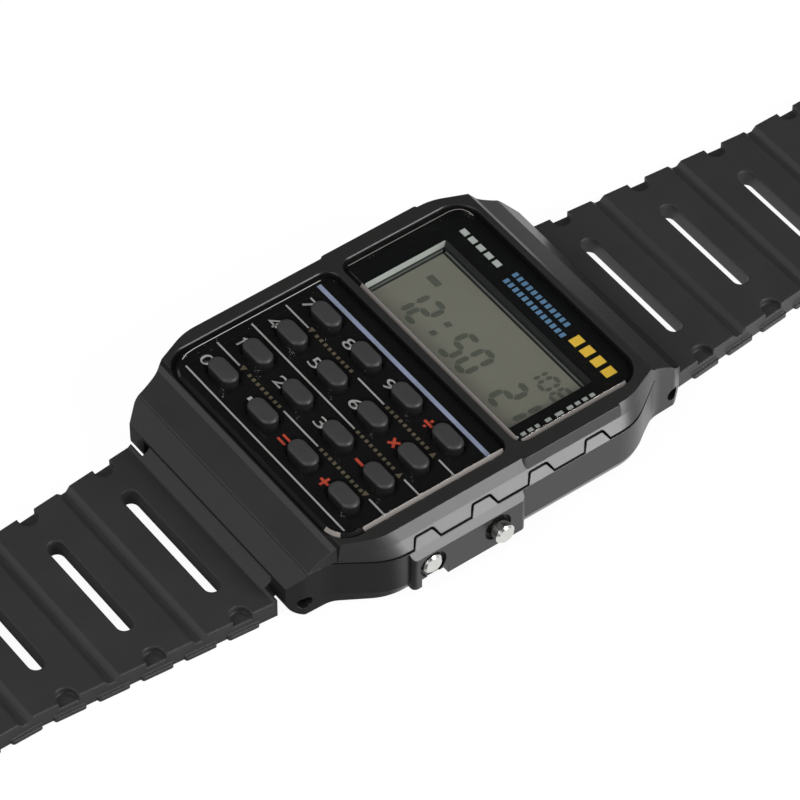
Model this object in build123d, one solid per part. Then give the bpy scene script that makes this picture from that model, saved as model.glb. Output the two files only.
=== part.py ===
from build123d import *
import os

# The watch lies on its back with its strap open flat. +X is the button side, +Y the twelve
# o'clock end, and the plate under the case lies on Z = 0. Sizes are millimetres.

# Case, outside
case_half_width = 16.1
case_half_length = 21.6
case_bottom = 0.5
skirt_height = 1.7
parting_height = 5.6
band_rise = 1.2
face_rise = 1.1
end_bevel_inset = 4.7
end_bevel_run = 0.7
end_bevel_drop = 0.8
facet_crease_inset = 1.78
facet_crease_rise = 0.12
facet_foot_drop = 1.76
bottom_outline_shares = ((0.963, 0.616), (0.798, 0.815), (0.792, 0.940), (0.733, 1.0))
side_outline_shares = ((1.000, 0.611), (0.798, 0.829), (0.790, 0.940), (0.731, 1.0))
band_outline_shares = ((0.952, 0.620), (0.801, 0.826), (0.773, 0.940), (0.726, 1.0))
rim_outline_shares = ((0.916, 0.630), (0.803, 0.824), (0.764, 0.940), (0.720, 1.0))
outline_shoulder_radius = 5.6
outline_hollow_radius = 2.4
outline_lug_radius = 0.8

# Wider shoulder of the frame beside the display
shoulder_inset = 1.13
shoulder_low_margin = 0.9
shoulder_high_inset = 3.98
shoulder_lean = 0.35
shoulder_corner = 0.3

# Tabs of the lower shell that stand in notches of the band, and the seam round them
tab_count = 4
tab_pitch = 6.17
tab_middle_y = -0.34
tab_foot_width = 2.8
tab_head_width = 1.7
tab_height = 0.85
tab_root = 0.6
tab_thickness = 1.1
tab_corner = 0.2
seam_width = 0.17
seam_depth = 0.45

# Case, inside
side_wall = 2.9
end_wall = 6.6
cavity_corner = 1.5
rebate_wall = 0.8
rebate_depth = 0.8
spigot_gap = 0.1
key_plate_drop = 0.8
key_plate_thickness = 0.45
ledge_drop = 0.95
ledge_thickness = 0.55

# Lugs, spring bars and the strap's root
lug_radius = 1.44
lug_thickness = 3.12
lug_recess_inset = 3.6
lug_roof_rise = 1.56
lug_hole_radius = 0.675
strap_side_gap = 0.3
strap_barrel_radius = 1.35
bar_tube_radius = 0.85
bar_tube_bore = 0.66
bar_tube_inset = 0.4
bar_pin_radius = 0.6
bar_pin_grip = 1.6
bar_pin_length = 4.4
bar_hole_gap = 0.08
bar_spring_gap = 0.06
bar_spring_wire = 0.14
bar_spring_turns = 9

# Clear panel round the keys
frame_border = 2.9
panel_low_border = 4.62
panel_high_share = 0.063
panel_drop = 0.05
panel_gap = 0.1
panel_seat_gap = 0.02
panel_low_corner = 2.4
panel_high_corner = 1.3
panel_chamfer = 0.45
panel_hole_margin = 0.42
rim_chamfer = 0.12

# Keys: four by four, long side along X
key_column_share = 0.2267
key_row_share = 0.2032
key_first_row_share = 0.1996
key_length = 3.45
key_width = 1.8
key_stand = 0.3
key_crown = 0.35
key_hole_gap = 0.1
key_flange_length = 4.7
key_flange_width = 2.8
key_flange_thickness = 0.45
key_flange_gap = 0.05
key_names = (
    ("0", "point", "equals", "plus"),
    ("1", "2", "3", "minus"),
    ("4", "5", "6", "times"),
    ("7", "8", "9", "divide"),
)

# Display
divider_width = 1.04
glass_high_border = 5.42
glass_low_corner = 1.1
glass_high_corner = 2.5
glass_drop = 0.2
glass_chamfer = 0.4
window_side_border = 2.5
window_low_border = 0.8
window_high_border = 3.73
window_corner = 0.3
cell_side_lap = 1.5
cell_low_lap = 0.45
cell_high_lap = 1.45
cell_top_gap = 0.06
cell_upper_thickness = 0.49
cell_lower_thickness = 0.47
cell_step = 0.75
zebra_end_inset = 0.8
zebra_width = 0.6
zebra_inset = 0.25
seat_gap = 0.03

# Module
module_side_gap = 0.9
module_end_gap = 0.3
module_corner = 1.2
board_drop = 0.9
board_thickness = 0.8
frame_clearance = 0.6
contact_notch_depth = 0.72
contact_notch_half = 1.5
contact_thickness = 0.14
contact_width = 2.2
contact_drop = 0.95
contact_top_inset = 0.1
battery_share = -0.162
battery_border = 2.3
battery_rise = 0.05
battery_cover = 0.52
battery_step = 0.9
battery_step_height = 0.3
battery_gap = 0.15
clip_rise = 0.4
clip_thickness = 0.17
clip_width = 4.0
clip_inset = 0.5
chip_side = 5.6
chip_share = 0.384
chip_height = 0.5
crystal_x = -7.0
crystal_share = 0.4537
crystal_radius = 0.75
crystal_length = 5.6
crystal_drop = 0.9
pocket_gap = 0.15
trimmer_x = 8.2
trimmer_share = 0.4907
trimmer_radius = 1.5
trimmer_height = 1.0
sheet_rise = 0.3
sheet_thickness = 0.06
sheet_inset = 0.4
buzzer_share = 0.185
buzzer_radius = 9.0
buzzer_disc_thickness = 0.2
buzzer_foil_radius = 6.5
buzzer_foil_thickness = 0.06
buzzer_spring_x = 3.2
buzzer_spring_reach = 7.9
buzzer_spring_radius = 0.7
buzzer_spring_wire = 0.12
buzzer_spring_turns = 5
module_screw_side_inset = 1.2
module_screw_end_inset = 1.3
module_screw_radius = 0.4
module_screw_head_radius = 0.8
module_screw_head = 0.35
module_screw_end_cover = 0.2
screw_gap = 0.05

# Keypad membrane
membrane_side_inset = 1.5
membrane_low_inset = 0.2
membrane_high_inset = 1.86
membrane_rise = 0.05
membrane_thickness = 0.4
membrane_corner = 1.0
dome_gap = 0.47
dome_base_radius = 1.05
dome_top_radius = 0.7

# Plate under the case
plate_side_inset = 1.7
plate_end_inset = 4.1
plate_corner = 4.0
plate_thickness = 1.1
plate_edge = 0.25
plate_gap = 0.1
gasket_inset = 0.25
gasket_width = 0.5
gasket_height = 0.45
back_screw_side_inset = 3.8
back_screw_end_inset = 1.1
back_screw_radius = 0.5
back_screw_head_radius = 0.75
back_screw_head = 0.4
back_screw_reach = 2.9
screw_slot_width = 0.25
screw_slot_depth = 0.15

# Side buttons and the guard round them
pusher_drop = 2.15
pusher_y_shares = {"lower": -0.44, "upper": -0.1157}
pusher_stand = {"lower": 0.15, "upper": 1.2}
pusher_head_radius = 1.0
pusher_stem_radius = 0.5
pusher_stem_reach = 0.4
pusher_head_root = 0.6
pusher_chamfer = 0.2
pusher_bore_gap = 0.06
pusher_mouth_radius = 1.4
pusher_mouth_depth = 0.4
pusher_step = 0.8
pusher_groove_radius = 0.68
pusher_groove_inset = 0.3
pusher_groove_width = 0.4
pusher_spring_wire = 0.06
pusher_spring_turns = 4
pusher_spring_gap = 0.08
ring_gap = 0.02
retainer_radius = 0.95
retainer_groove_radius = 0.42
retainer_inset = 0.08
retainer_width = 0.24
retainer_mouth = 0.6
guard_reach = 0.65
guard_low_margin = 2.1
guard_high_margin = 3.1
guard_bottom = 1.2
guard_shoulder_drop = 0.6
guard_root = 0.9
guard_corner = 0.5
guard_notch_depth = 0.75
guard_notch_low_margin = 1.2
guard_notch_high_margin = 1.6
guard_notch_top = 2.2

# Strap halves; s is the distance outward from the end of the case
strap_thickness = 1.85
strap_root_lap = 1.525
strap_half_width = 9.0
strap_taper_length = 23.8
strap_shoulder_s = 0.4
neck_shoulder_s = 0.75
neck_foot_s = -0.1
slot_first_s = 3.85
slot_pitch = 8.47
slot_count = 4
slot_width = 1.6
slot_first_half_length = 7.0
slot_shortening = 0.95
pocket_radius = 0.95
pocket_depth_x = 1.4
pocket_depth_z = 0.68
groove_top_width = 1.45
groove_bottom_width = 0.5
groove_depth = 0.5
scallop_length = 3.1
scallop_reach = 0.3
scallop_height = 0.45
scallop_corner = 0.25
long_strap_length = 108.0
long_tip_radius = 7.5
strap_hole_first_s = 44.0
strap_hole_end_margin = 16.8
strap_hole_count = 9
strap_hole_length = 2.6
strap_hole_width = 1.8

# Raised end of the short half, keeper and buckle
buckle_bar_s = 70.0
rise_end_margin = 26.0
rise_run = 8.0
rise = 1.5
buckle_bar_radius = 0.75
buckle_bar_grip = 1.5
buckle_hole_gap = 0.06
strap_end_radius = 1.45
tongue_notch_half = 1.5
tongue_notch_reach = 1.9
keeper_rest_margin = 13.0
keeper_length = 5.0
keeper_wall = 1.2
keeper_side_gap = 0.25
keeper_under_gap = 0.2
keeper_room = 2.3
keeper_corner = 0.9
buckle_side_gap = 0.25
buckle_arm_width = 1.45
buckle_arm_radius = 1.5
buckle_front_radius = 1.2
buckle_reach = 9.6
tongue_half_width = 1.1
tongue_eye_radius = 1.35
tongue_thickness = 1.0
tongue_overhang = 1.2
tongue_rest_gap = 0.03

# Every cut runs this far past the piece it cuts, and points this near count as one
overrun = 2.0
same_point = 0.001

# Places that follow from the sizes above
band_top = parting_height + band_rise
face_height = band_top + face_rise
end_bevel_start = case_half_length - end_bevel_inset
end_bevel_foot = end_bevel_start + end_bevel_run
facet_crease_y = case_half_length - facet_crease_inset
facet_crease_z = parting_height + facet_crease_rise
facet_foot_z = parting_height - facet_foot_drop
shoulder_half_width = case_half_width - shoulder_inset
cavity_half_width = case_half_width - side_wall
cavity_half_length = case_half_length - end_wall
key_plate_top = face_height - key_plate_drop
key_plate_low = key_plate_top - key_plate_thickness
ledge_top = face_height - ledge_drop
ledge_low = ledge_top - ledge_thickness
spring_bar_y = case_half_length - lug_radius
spring_bar_z = case_bottom + lug_radius
lug_outer_share = side_outline_shares[-2][0]
lug_inner_x = case_half_width * lug_outer_share - lug_thickness
strap_tongue_half_width = lug_inner_x - strap_side_gap
bar_tube_reach = lug_inner_x - bar_tube_inset
bar_pin_reach = lug_inner_x + bar_pin_grip
panel_half_width = case_half_width - frame_border
panel_low_y = panel_low_border - case_half_length
panel_high_y = case_half_length * panel_high_share
panel_length = panel_high_y - panel_low_y
panel_top = face_height - panel_drop
key_top = face_height + key_stand
glass_low_y = panel_high_y + divider_width
glass_high_y = case_half_length - glass_high_border
shoulder_low_y = glass_low_y - shoulder_low_margin
shoulder_high_y = glass_high_y - shoulder_high_inset
glass_top = face_height - glass_drop
window_half_width = panel_half_width - window_side_border
window_low_y = glass_low_y + window_low_border
window_high_y = glass_high_y - window_high_border
cell_half_width = window_half_width + cell_side_lap
cell_low_y = window_low_y - cell_low_lap
cell_high_y = window_high_y + cell_high_lap
cell_top_z = ledge_low - cell_top_gap
cell_split_z = cell_top_z - cell_upper_thickness
cell_low_z = cell_split_z - cell_lower_thickness
zebra_half_length = cell_half_width - zebra_end_inset
module_half_width = cavity_half_width - module_side_gap
module_half_length = cavity_half_length - module_end_gap
board_top = parting_height - board_drop
board_low = board_top - board_thickness
frame_top = board_low - seat_gap
frame_low = plate_thickness + frame_clearance
contact_notch_x = module_half_width - contact_notch_depth
battery_y = case_half_length * battery_share
battery_radius = module_half_width - battery_border
battery_low = frame_low + battery_rise
battery_top = frame_top - battery_cover
clip_low = plate_thickness + clip_rise
sheet_low = plate_thickness + sheet_rise
buzzer_y = case_half_length * buzzer_share
buzzer_disc_top = plate_thickness + buzzer_disc_thickness
buzzer_spring_y = buzzer_y + buzzer_spring_reach
chip_y = case_half_length * chip_share
crystal_y = case_half_length * crystal_share
crystal_z = board_low - crystal_drop
trimmer_y = case_half_length * trimmer_share
membrane_low_z = board_top + membrane_rise
membrane_top_z = membrane_low_z + membrane_thickness
dome_top_z = key_plate_low - key_flange_gap - key_flange_thickness - dome_gap
plate_half_width = case_half_width - plate_side_inset
plate_half_length = case_half_length - plate_end_inset
pusher_z = parting_height - pusher_drop
pusher_y = {name: case_half_length * share for name, share in pusher_y_shares.items()}
guard_x = case_half_width + guard_reach
pusher_stem_end_x = cavity_half_width - pusher_stem_reach
pusher_head_inner_x = case_half_width - pusher_head_root
pusher_step_x = cavity_half_width + pusher_step
pusher_groove_low_x = case_half_width - pusher_groove_inset
pusher_groove_high_x = pusher_groove_low_x + pusher_groove_width
retainer_low_x = pusher_stem_end_x + retainer_inset
retainer_high_x = retainer_low_x + retainer_width
strap_root_half_width = lug_inner_x + strap_root_lap
strap_hole_span = long_strap_length - strap_hole_first_s - strap_hole_end_margin
rise_end_s = buckle_bar_s - rise_end_margin
rise_start_s = rise_end_s - rise_run
keeper_rest_s = buckle_bar_s - keeper_rest_margin
buckle_bar_reach = strap_half_width + buckle_bar_grip
buckle_arm_inner_x = strap_half_width + buckle_side_gap
buckle_arm_outer_x = buckle_arm_inner_x + buckle_arm_width


def prism(sketch, low, high):
    """A plan shape raised from one height to another."""
    return extrude(Plane.XY.offset(low) * sketch, high - low)


def across(profile, low, high):
    """A shape drawn in Y and Z, drawn out along X."""
    return extrude(Plane.YZ.offset(low) * profile, high - low)


def rod(y, z, radius, low, high):
    """A round bar along X."""
    return across(Pos(y, z) * Circle(radius), low, high)


def upright(x, y, radius, low, high):
    """A round bar along Z."""
    return prism(Pos(x, y) * Circle(radius), low, high)


def plan_box(half_width, low_y, high_y):
    """A rectangle about the Y axis, between two Y values."""
    return Pos(0, (low_y + high_y) / 2) * Rectangle(2 * half_width, high_y - low_y)


def round_corners(sketch, low_radius, high_radius):
    """Rounds the corners at the low-Y and the high-Y side of a rectangle."""
    low = sketch.vertices().sort_by(Axis.Y)[:2]
    sketch = fillet(low, low_radius)
    high = sketch.vertices().sort_by(Axis.Y)[-2:]
    return fillet(high, high_radius)


def rounded_box(half_width, low_y, high_y, radius):
    """A rectangle about the Y axis with four like corners."""
    return round_corners(plan_box(half_width, low_y, high_y), radius, radius)


def both_sides(shape):
    """The shape and its mirror image on the other side of the YZ plane."""
    return shape + mirror(shape, Plane.YZ)


def both_ends(shape):
    """The shape and its mirror image on the other side of the XZ plane."""
    return shape + mirror(shape, Plane.XZ)


def coil(radius, wire, turns, length):
    """A round-wire spring from the origin up along Z."""
    span = length - 2 * wire
    path = Helix(pitch=span / turns, height=span, radius=radius)
    section = Plane(origin=path @ 0, z_dir=path % 0) * Circle(wire)
    return Pos(0, 0, wire) * sweep(section, path=path, is_frenet=True)


def case_outline(shares, height):
    """The case's plan at one height, three corners of each quarter rounded."""
    quarter = [(case_half_width * x, case_half_length * y) for x, y in shares]
    upper = quarter + [(-x, y) for x, y in reversed(quarter)]
    lower = [(x, -y) for x, y in reversed(upper)]
    plan = Polygon(*upper, *lower, align=None)
    radii = (outline_shoulder_radius, outline_hollow_radius, outline_lug_radius)
    for (x, y), radius in zip(quarter, radii):
        corners = [
            point
            for point in plan.vertices()
            if abs(abs(point.X) - x) < same_point and abs(abs(point.Y) - y) < same_point
        ]
        plan = fillet(corners, radius)
    return Plane.XY.offset(height) * plan


def frame_skin():
    """The sloped band and the face above it, before anything is cut."""
    foot = case_outline(side_outline_shares, parting_height)
    crease = case_outline(band_outline_shares, band_top)
    rim = case_outline(rim_outline_shares, face_height)
    return loft([foot, crease, rim], ruled=True)


def end_profile():
    """The case seen from the button side: sloping facets and round lug ends."""
    upper = [
        (spring_bar_y, case_bottom),
        (spring_bar_y, spring_bar_z),
        (case_half_length, spring_bar_z),
        (case_half_length, facet_foot_z),
        (facet_crease_y, facet_crease_z),
        (end_bevel_foot, face_height - end_bevel_drop),
        (end_bevel_start, face_height),
    ]
    mirrored = [(-y, z) for y, z in reversed(upper)]
    profile = Polygon(*upper, *mirrored, align=None)
    for side in (-1, 1):
        profile += Pos(side * spring_bar_y, spring_bar_z) * Circle(lug_radius)
    return across(profile, -case_half_width - overrun, case_half_width + overrun)


def tab_places():
    """Y of the middle of each tab."""
    first = tab_middle_y - tab_pitch * (tab_count - 1) / 2
    return [first + tab_pitch * k for k in range(tab_count)]


def tab_blocks(grow):
    """Trapezoid blocks through the band on both sides, grown by a clearance."""
    foot = tab_foot_width / 2 + grow
    head = tab_head_width / 2 + grow
    crest = parting_height + tab_height + grow
    blocks = []
    for y in tab_places():
        profile = Polygon(
            (y - foot, parting_height - tab_root),
            (y + foot, parting_height - tab_root),
            (y + foot, parting_height),
            (y + head, crest),
            (y - head, crest),
            (y - foot, parting_height),
            align=None,
        )
        profile = fillet(profile.vertices().group_by(Axis.Y)[-1], tab_corner + grow)
        low = case_half_width - tab_thickness - grow
        block = across(profile, low, case_half_width + overrun)
        blocks += [block, mirror(block, Plane.YZ)]
    return blocks


def tabs(skin):
    """The castellation of the lower shell, flush with the frame's band."""
    foot = case_outline(side_outline_shares, parting_height)
    below = extrude(foot, -tab_root)
    return [(skin + below) & block for block in tab_blocks(0)]


def seam():
    """Thin groove between the band and the lower shell, along the sides."""
    plan = case_outline(side_outline_shares, 0)
    ring = offset(plan, overrun) - offset(plan, -seam_depth)
    reach = case_half_width + overrun
    ring = ring & plan_box(reach, -end_bevel_foot, end_bevel_foot)
    return prism(ring, parting_height, parting_height + seam_width)


def button_guard():
    """The raised wall round the side buttons."""
    root = case_half_width - guard_root
    profile = Polygon(
        (root, guard_bottom),
        (guard_x, guard_bottom),
        (guard_x, parting_height - guard_shoulder_drop),
        (case_half_width, parting_height),
        (root, parting_height),
        align=None,
    )
    low = pusher_y["lower"] - guard_low_margin
    high = pusher_y["upper"] + guard_high_margin
    middle = (low + high) / 2
    wall = Pos(0, middle, 0) * extrude(Plane.XZ * profile, (high - low) / 2, both=True)
    plan = Pos(0, middle) * RectangleRounded(2 * guard_x, high - low, guard_corner)
    wall = wall & prism(plan, case_bottom, face_height)
    notch_low = pusher_y["lower"] - guard_notch_low_margin
    notch_high = pusher_y["lower"] + guard_notch_high_margin
    centre = guard_x - guard_notch_depth + overrun / 2
    notch = Pos(centre, (notch_low + notch_high) / 2) * Rectangle(overrun, notch_high - notch_low)
    return wall - prism(notch, case_bottom, guard_notch_top)


def back_screw_places():
    """The four screws of the plate."""
    x = plate_half_width - back_screw_side_inset
    y = plate_half_length - back_screw_end_inset
    return [(i * x, j * y) for i in (-1, 1) for j in (-1, 1)]


def cavity_plan(grow):
    """Plan of the room for the module, grown evenly."""
    return rounded_box(
        cavity_half_width + grow, -cavity_half_length - grow, cavity_half_length + grow, cavity_corner + grow
    )


def plate_plan(grow):
    """Plan of the plate under the case, grown evenly."""
    return rounded_box(
        plate_half_width + grow, -plate_half_length - grow, plate_half_length + grow, plate_corner + grow
    )


def gasket_ring(grow):
    """The sealing ring round the cavity, grown by a clearance."""
    return cavity_plan(gasket_inset + gasket_width + grow) - cavity_plan(gasket_inset - grow)


def screw_pilots():
    """Holes for the plate's screws."""
    radius = back_screw_radius + screw_gap
    top = case_bottom + back_screw_reach + screw_gap
    return [upright(x, y, radius, case_bottom, top) for x, y in back_screw_places()]


def pusher_bores(y):
    """Stepped bore of one side button."""
    head_bore = pusher_head_radius + pusher_bore_gap
    stem_bore = pusher_stem_radius + pusher_bore_gap
    return [
        rod(y, pusher_z, stem_bore, cavity_half_width - overrun, pusher_step_x),
        rod(y, pusher_z, head_bore, pusher_step_x, guard_x + overrun),
        rod(y, pusher_z, pusher_mouth_radius, guard_x - pusher_mouth_depth, guard_x + overrun),
    ]


def case_body():
    """Lower shell with side walls, tabs, lugs and button guard."""
    low = case_outline(bottom_outline_shares, case_bottom)
    middle = case_outline(side_outline_shares, skirt_height)
    high = case_outline(side_outline_shares, parting_height)
    body = loft([low, middle, high], ruled=True) & end_profile()
    for piece in tabs(frame_skin()) + [button_guard()]:
        body = body + piece
    body = body - prism(cavity_plan(0), case_bottom - overrun, parting_height + overrun)
    body = body - prism(cavity_plan(rebate_wall), parting_height - rebate_depth, parting_height + overrun)
    body = body - prism(plate_plan(plate_gap), case_bottom - overrun, plate_thickness)
    body = body - prism(gasket_ring(seat_gap), case_bottom, plate_thickness + gasket_height + seat_gap)
    recess = plan_box(lug_inner_x, case_half_length - lug_recess_inset, case_half_length + overrun)
    body = body - both_ends(prism(recess, case_bottom - overrun, spring_bar_z + lug_roof_rise))
    reach = case_half_width + overrun
    for end in (-1, 1):
        body = body - rod(end * spring_bar_y, spring_bar_z, lug_hole_radius, -reach, reach)
    for cut in screw_pilots():
        body = body - cut
    for y in pusher_y.values():
        for cut in pusher_bores(y):
            body = body - cut
    return body


def rim_cut(half_width, low_y, high_y, low_corner, high_corner, floor):
    """A recess in the frame's face, with a small bevel round its mouth."""
    plan = plan_box(half_width + panel_gap, low_y - panel_gap, high_y + panel_gap)
    plan = round_corners(plan, low_corner + panel_gap, high_corner + panel_gap)
    straight = prism(plan, floor, face_height + overrun)
    mouth = Plane.XY.offset(face_height - rim_chamfer) * plan
    return straight + extrude(mouth, overrun, taper=-45)


def key_places():
    """Name and place of each key."""
    places = []
    for row, names in enumerate(key_names):
        for column, name in enumerate(names):
            x = (column - (len(names) - 1) / 2) * 2 * panel_half_width * key_column_share
            y = panel_low_y + panel_length * (key_first_row_share + row * key_row_share)
            places.append((name, x, y))
    return places


def key_slot(grow):
    """Plan of one key, grown by a clearance."""
    return SlotOverall(key_length + 2 * grow, key_width + 2 * grow)


def shoulder():
    """The wider part of the face beside the display."""
    foot = rounded_box(
        shoulder_half_width + shoulder_lean,
        shoulder_low_y - shoulder_lean,
        shoulder_high_y + shoulder_lean,
        shoulder_corner + shoulder_lean,
    )
    head = rounded_box(shoulder_half_width, shoulder_low_y, shoulder_high_y, shoulder_corner)
    return loft([Plane.XY.offset(band_top) * foot, Plane.XY.offset(face_height) * head], ruled=True)


def frame_rooms():
    """What is cut from the frame: key room, display room, both recesses and the window."""
    key_room = prism(cavity_plan(0), parting_height - overrun, key_plate_low)
    display_side = plan_box(cavity_half_width + overrun, panel_high_y, cavity_half_length + overrun)
    window = rounded_box(window_half_width, window_low_y, window_high_y, window_corner)
    return [
        key_room - prism(display_side, ledge_low, key_plate_low),
        rim_cut(
            panel_half_width, panel_low_y, panel_high_y, panel_low_corner, panel_high_corner, key_plate_top
        ),
        rim_cut(panel_half_width, glass_low_y, glass_high_y, glass_low_corner, glass_high_corner, ledge_top),
        prism(window, ledge_low - overrun, ledge_top + overrun),
    ]


def top_bezel():
    """Upper shell: frame, key plate and sloped band."""
    shell = (frame_skin() + shoulder()) & end_profile()
    for cut in tab_blocks(seam_width) + [seam()] + frame_rooms():
        shell = shell - cut
    for name, x, y in key_places():
        hole = Pos(x, y) * key_slot(key_hole_gap)
        shell = shell - prism(hole, key_plate_low - seat_gap, key_plate_top + seat_gap)
    ring = cavity_plan(rebate_wall - spigot_gap) - cavity_plan(0)
    return shell + prism(ring, parting_height - rebate_depth + spigot_gap, parting_height)


def keypad_panel():
    """Clear panel with a bevelled edge and an oval hole for each key."""
    plan = plan_box(panel_half_width, panel_low_y, panel_high_y)
    plan = round_corners(plan, panel_low_corner, panel_high_corner)
    panel = prism(plan, key_plate_top + panel_seat_gap, panel_top)
    panel = chamfer(panel.edges().group_by(Axis.Z)[-1], panel_chamfer)
    for name, x, y in key_places():
        hole = Pos(x, y) * key_slot(panel_hole_margin)
        panel = panel - prism(hole, key_plate_top - overrun, panel_top + overrun)
    return panel


def display_glass():
    """Flat glass over the display, bevelled round its top."""
    plan = plan_box(panel_half_width, glass_low_y, glass_high_y)
    plan = round_corners(plan, glass_low_corner, glass_high_corner)
    glass = prism(plan, ledge_top + panel_seat_gap, glass_top)
    return chamfer(glass.edges().group_by(Axis.Z)[-1], glass_chamfer)


def key(x, y):
    """One oval key with the flange that keeps it under the key plate."""
    flange_top = key_plate_low - key_flange_gap
    cap = prism(key_slot(0), flange_top, key_top)
    cap = fillet(cap.edges().group_by(Axis.Z)[-1], key_crown)
    plate = Rectangle(key_flange_length, key_flange_width)
    flange = prism(plate, flange_top - key_flange_thickness, flange_top)
    return Pos(x, y, 0) * (cap + flange)


def keypad_membrane():
    """Rubber sheet with a dome under each key."""
    plan = rounded_box(
        cavity_half_width - membrane_side_inset,
        membrane_low_inset - cavity_half_length,
        panel_high_y - membrane_high_inset,
        membrane_corner,
    )
    sheet = prism(plan, membrane_low_z, membrane_top_z)
    height = dome_top_z - membrane_top_z
    dome = Cone(dome_base_radius, dome_top_radius, height)
    for name, x, y in key_places():
        sheet = sheet + Pos(x, y, membrane_top_z + height / 2) * dome
    return sheet


def lcd_cell():
    """Two glass sheets; the lower one carries the contact edges."""
    lower = prism(plan_box(cell_half_width, cell_low_y, cell_high_y), cell_low_z, cell_split_z)
    upper = plan_box(cell_half_width, cell_low_y + cell_step, cell_high_y - cell_step)
    return lower + prism(upper, cell_split_z, cell_top_z)


def zebra_strips():
    """Conductive rubber strips between board and display."""
    strips = []
    for middle in (cell_low_y + zebra_inset + zebra_width / 2, cell_high_y - zebra_inset - zebra_width / 2):
        strip = Pos(0, middle) * Rectangle(2 * zebra_half_length, zebra_width)
        strips.append(prism(strip, board_top + seat_gap, cell_low_z - seat_gap))
    return Compound(strips)


def contact_notches():
    """Room beside the module for the ends of the side buttons."""
    width = module_half_width - contact_notch_x + overrun
    blocks = []
    for name, y in pusher_y.items():
        notch = Pos(contact_notch_x + width / 2, y) * Rectangle(width, 2 * contact_notch_half)
        blocks.append(prism(notch, frame_low - overrun, board_top + overrun))
    return blocks


def module_screw_places():
    """The four screws that hold frame and board together."""
    x = module_half_width - module_screw_side_inset
    y = module_half_length - module_screw_end_inset
    return [(i * x, j * y) for i in (-1, 1) for j in (-1, 1)]


def crystal_rod(grow):
    """The crystal's can, lying along X, grown by a clearance."""
    half = crystal_length / 2 + grow
    return rod(crystal_y, crystal_z, crystal_radius + grow, crystal_x - half, crystal_x + half)


def module_frame():
    """Plastic frame with pockets for the cell and the small parts."""
    plan = rounded_box(module_half_width, -module_half_length, module_half_length, module_corner)
    frame = prism(plan, frame_low, frame_top)
    for block in contact_notches():
        frame = frame - block
    pocket = battery_radius + battery_gap
    frame = frame - upright(0, battery_y, pocket, frame_low - overrun, battery_top + seat_gap)
    crystal_room = Rectangle(crystal_length + 2 * pocket_gap, 2 * (crystal_radius + pocket_gap))
    crystal_room = Pos(crystal_x, crystal_y) * crystal_room
    frame = frame - prism(crystal_room, frame_low - overrun, frame_top + overrun)
    trimmer_room = trimmer_radius + pocket_gap
    frame = frame - upright(trimmer_x, trimmer_y, trimmer_room, frame_low - overrun, frame_top + overrun)
    spring_room = buzzer_spring_radius + buzzer_spring_wire + pocket_gap
    frame = frame - upright(
        buzzer_spring_x, buzzer_spring_y, spring_room, frame_low - overrun, frame_top + overrun
    )
    for x, y in module_screw_places():
        head = module_screw_head_radius + screw_gap
        shank = module_screw_radius + screw_gap
        frame = frame - upright(x, y, head, frame_low - overrun, frame_low + module_screw_head + seat_gap)
        frame = frame - upright(x, y, shank, frame_low, frame_top + overrun)
    return frame


def circuit_board():
    """The printed board over the frame."""
    plan = rounded_box(module_half_width, -module_half_length, module_half_length, module_corner)
    board = prism(plan, board_low, board_top)
    for block in contact_notches():
        board = board - block
    top = board_top - module_screw_end_cover + screw_gap
    for x, y in module_screw_places():
        board = board - upright(x, y, module_screw_radius + screw_gap, board_low, top)
    return board


def module_screws():
    """Screws from below, through the frame into the board."""
    screws = []
    for x, y in module_screw_places():
        head_top = frame_low + module_screw_head
        head = upright(x, y, module_screw_head_radius, frame_low, head_top)
        slot = Pos(x, y) * Rectangle(2 * module_screw_head_radius, screw_slot_width)
        head = head - prism(slot, frame_low, frame_low + screw_slot_depth)
        top = board_top - module_screw_end_cover
        screws.append(head + upright(x, y, module_screw_radius, head_top, top))
    return Compound(screws)


def battery():
    """Coin cell, its narrower pole towards the board."""
    step = battery_top - battery_step_height
    can = upright(0, battery_y, battery_radius, battery_low, step)
    return can + upright(0, battery_y, battery_radius - battery_step, step, battery_top)


def battery_clip():
    """Spring steel strip across the cell."""
    length = 2 * (module_half_width - clip_inset)
    plan = Pos(0, battery_y) * RectangleRounded(length, clip_width, clip_width / 3)
    return prism(plan, clip_low, clip_low + clip_thickness)


def processor_chip():
    """Potted chip on the board, under the display."""
    low = board_top + seat_gap
    block = prism(Pos(0, chip_y) * Rectangle(chip_side, chip_side), low, low + chip_height)
    return chamfer(block.edges().group_by(Axis.Z)[-1], chip_height / 2)


def trim_capacitor():
    """Small round trimmer under the board."""
    top = board_low - seat_gap
    low = board_low - trimmer_height
    body = upright(trimmer_x, trimmer_y, trimmer_radius, low, top)
    slot = Pos(trimmer_x, trimmer_y) * Rectangle(trimmer_radius, screw_slot_width)
    return body - prism(slot, low, low + screw_slot_depth)


def insulator_sheet():
    """Film between the cell's clip and the plate, open at the buzzer's contact."""
    half_length = module_half_length - sheet_inset
    plan = rounded_box(module_half_width - sheet_inset, -half_length, half_length, module_corner)
    opening = buzzer_spring_radius + buzzer_spring_wire + pocket_gap
    plan = plan - Pos(buzzer_spring_x, buzzer_spring_y) * Circle(opening)
    return prism(plan, sheet_low, sheet_low + sheet_thickness)


def buzzer_disc():
    """Brass disc with its ceramic layer, on the plate."""
    disc = upright(0, buzzer_y, buzzer_radius, plate_thickness, buzzer_disc_top)
    foil_top = buzzer_disc_top + buzzer_foil_thickness
    return disc + upright(0, buzzer_y, buzzer_foil_radius, buzzer_disc_top, foil_top)


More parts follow.
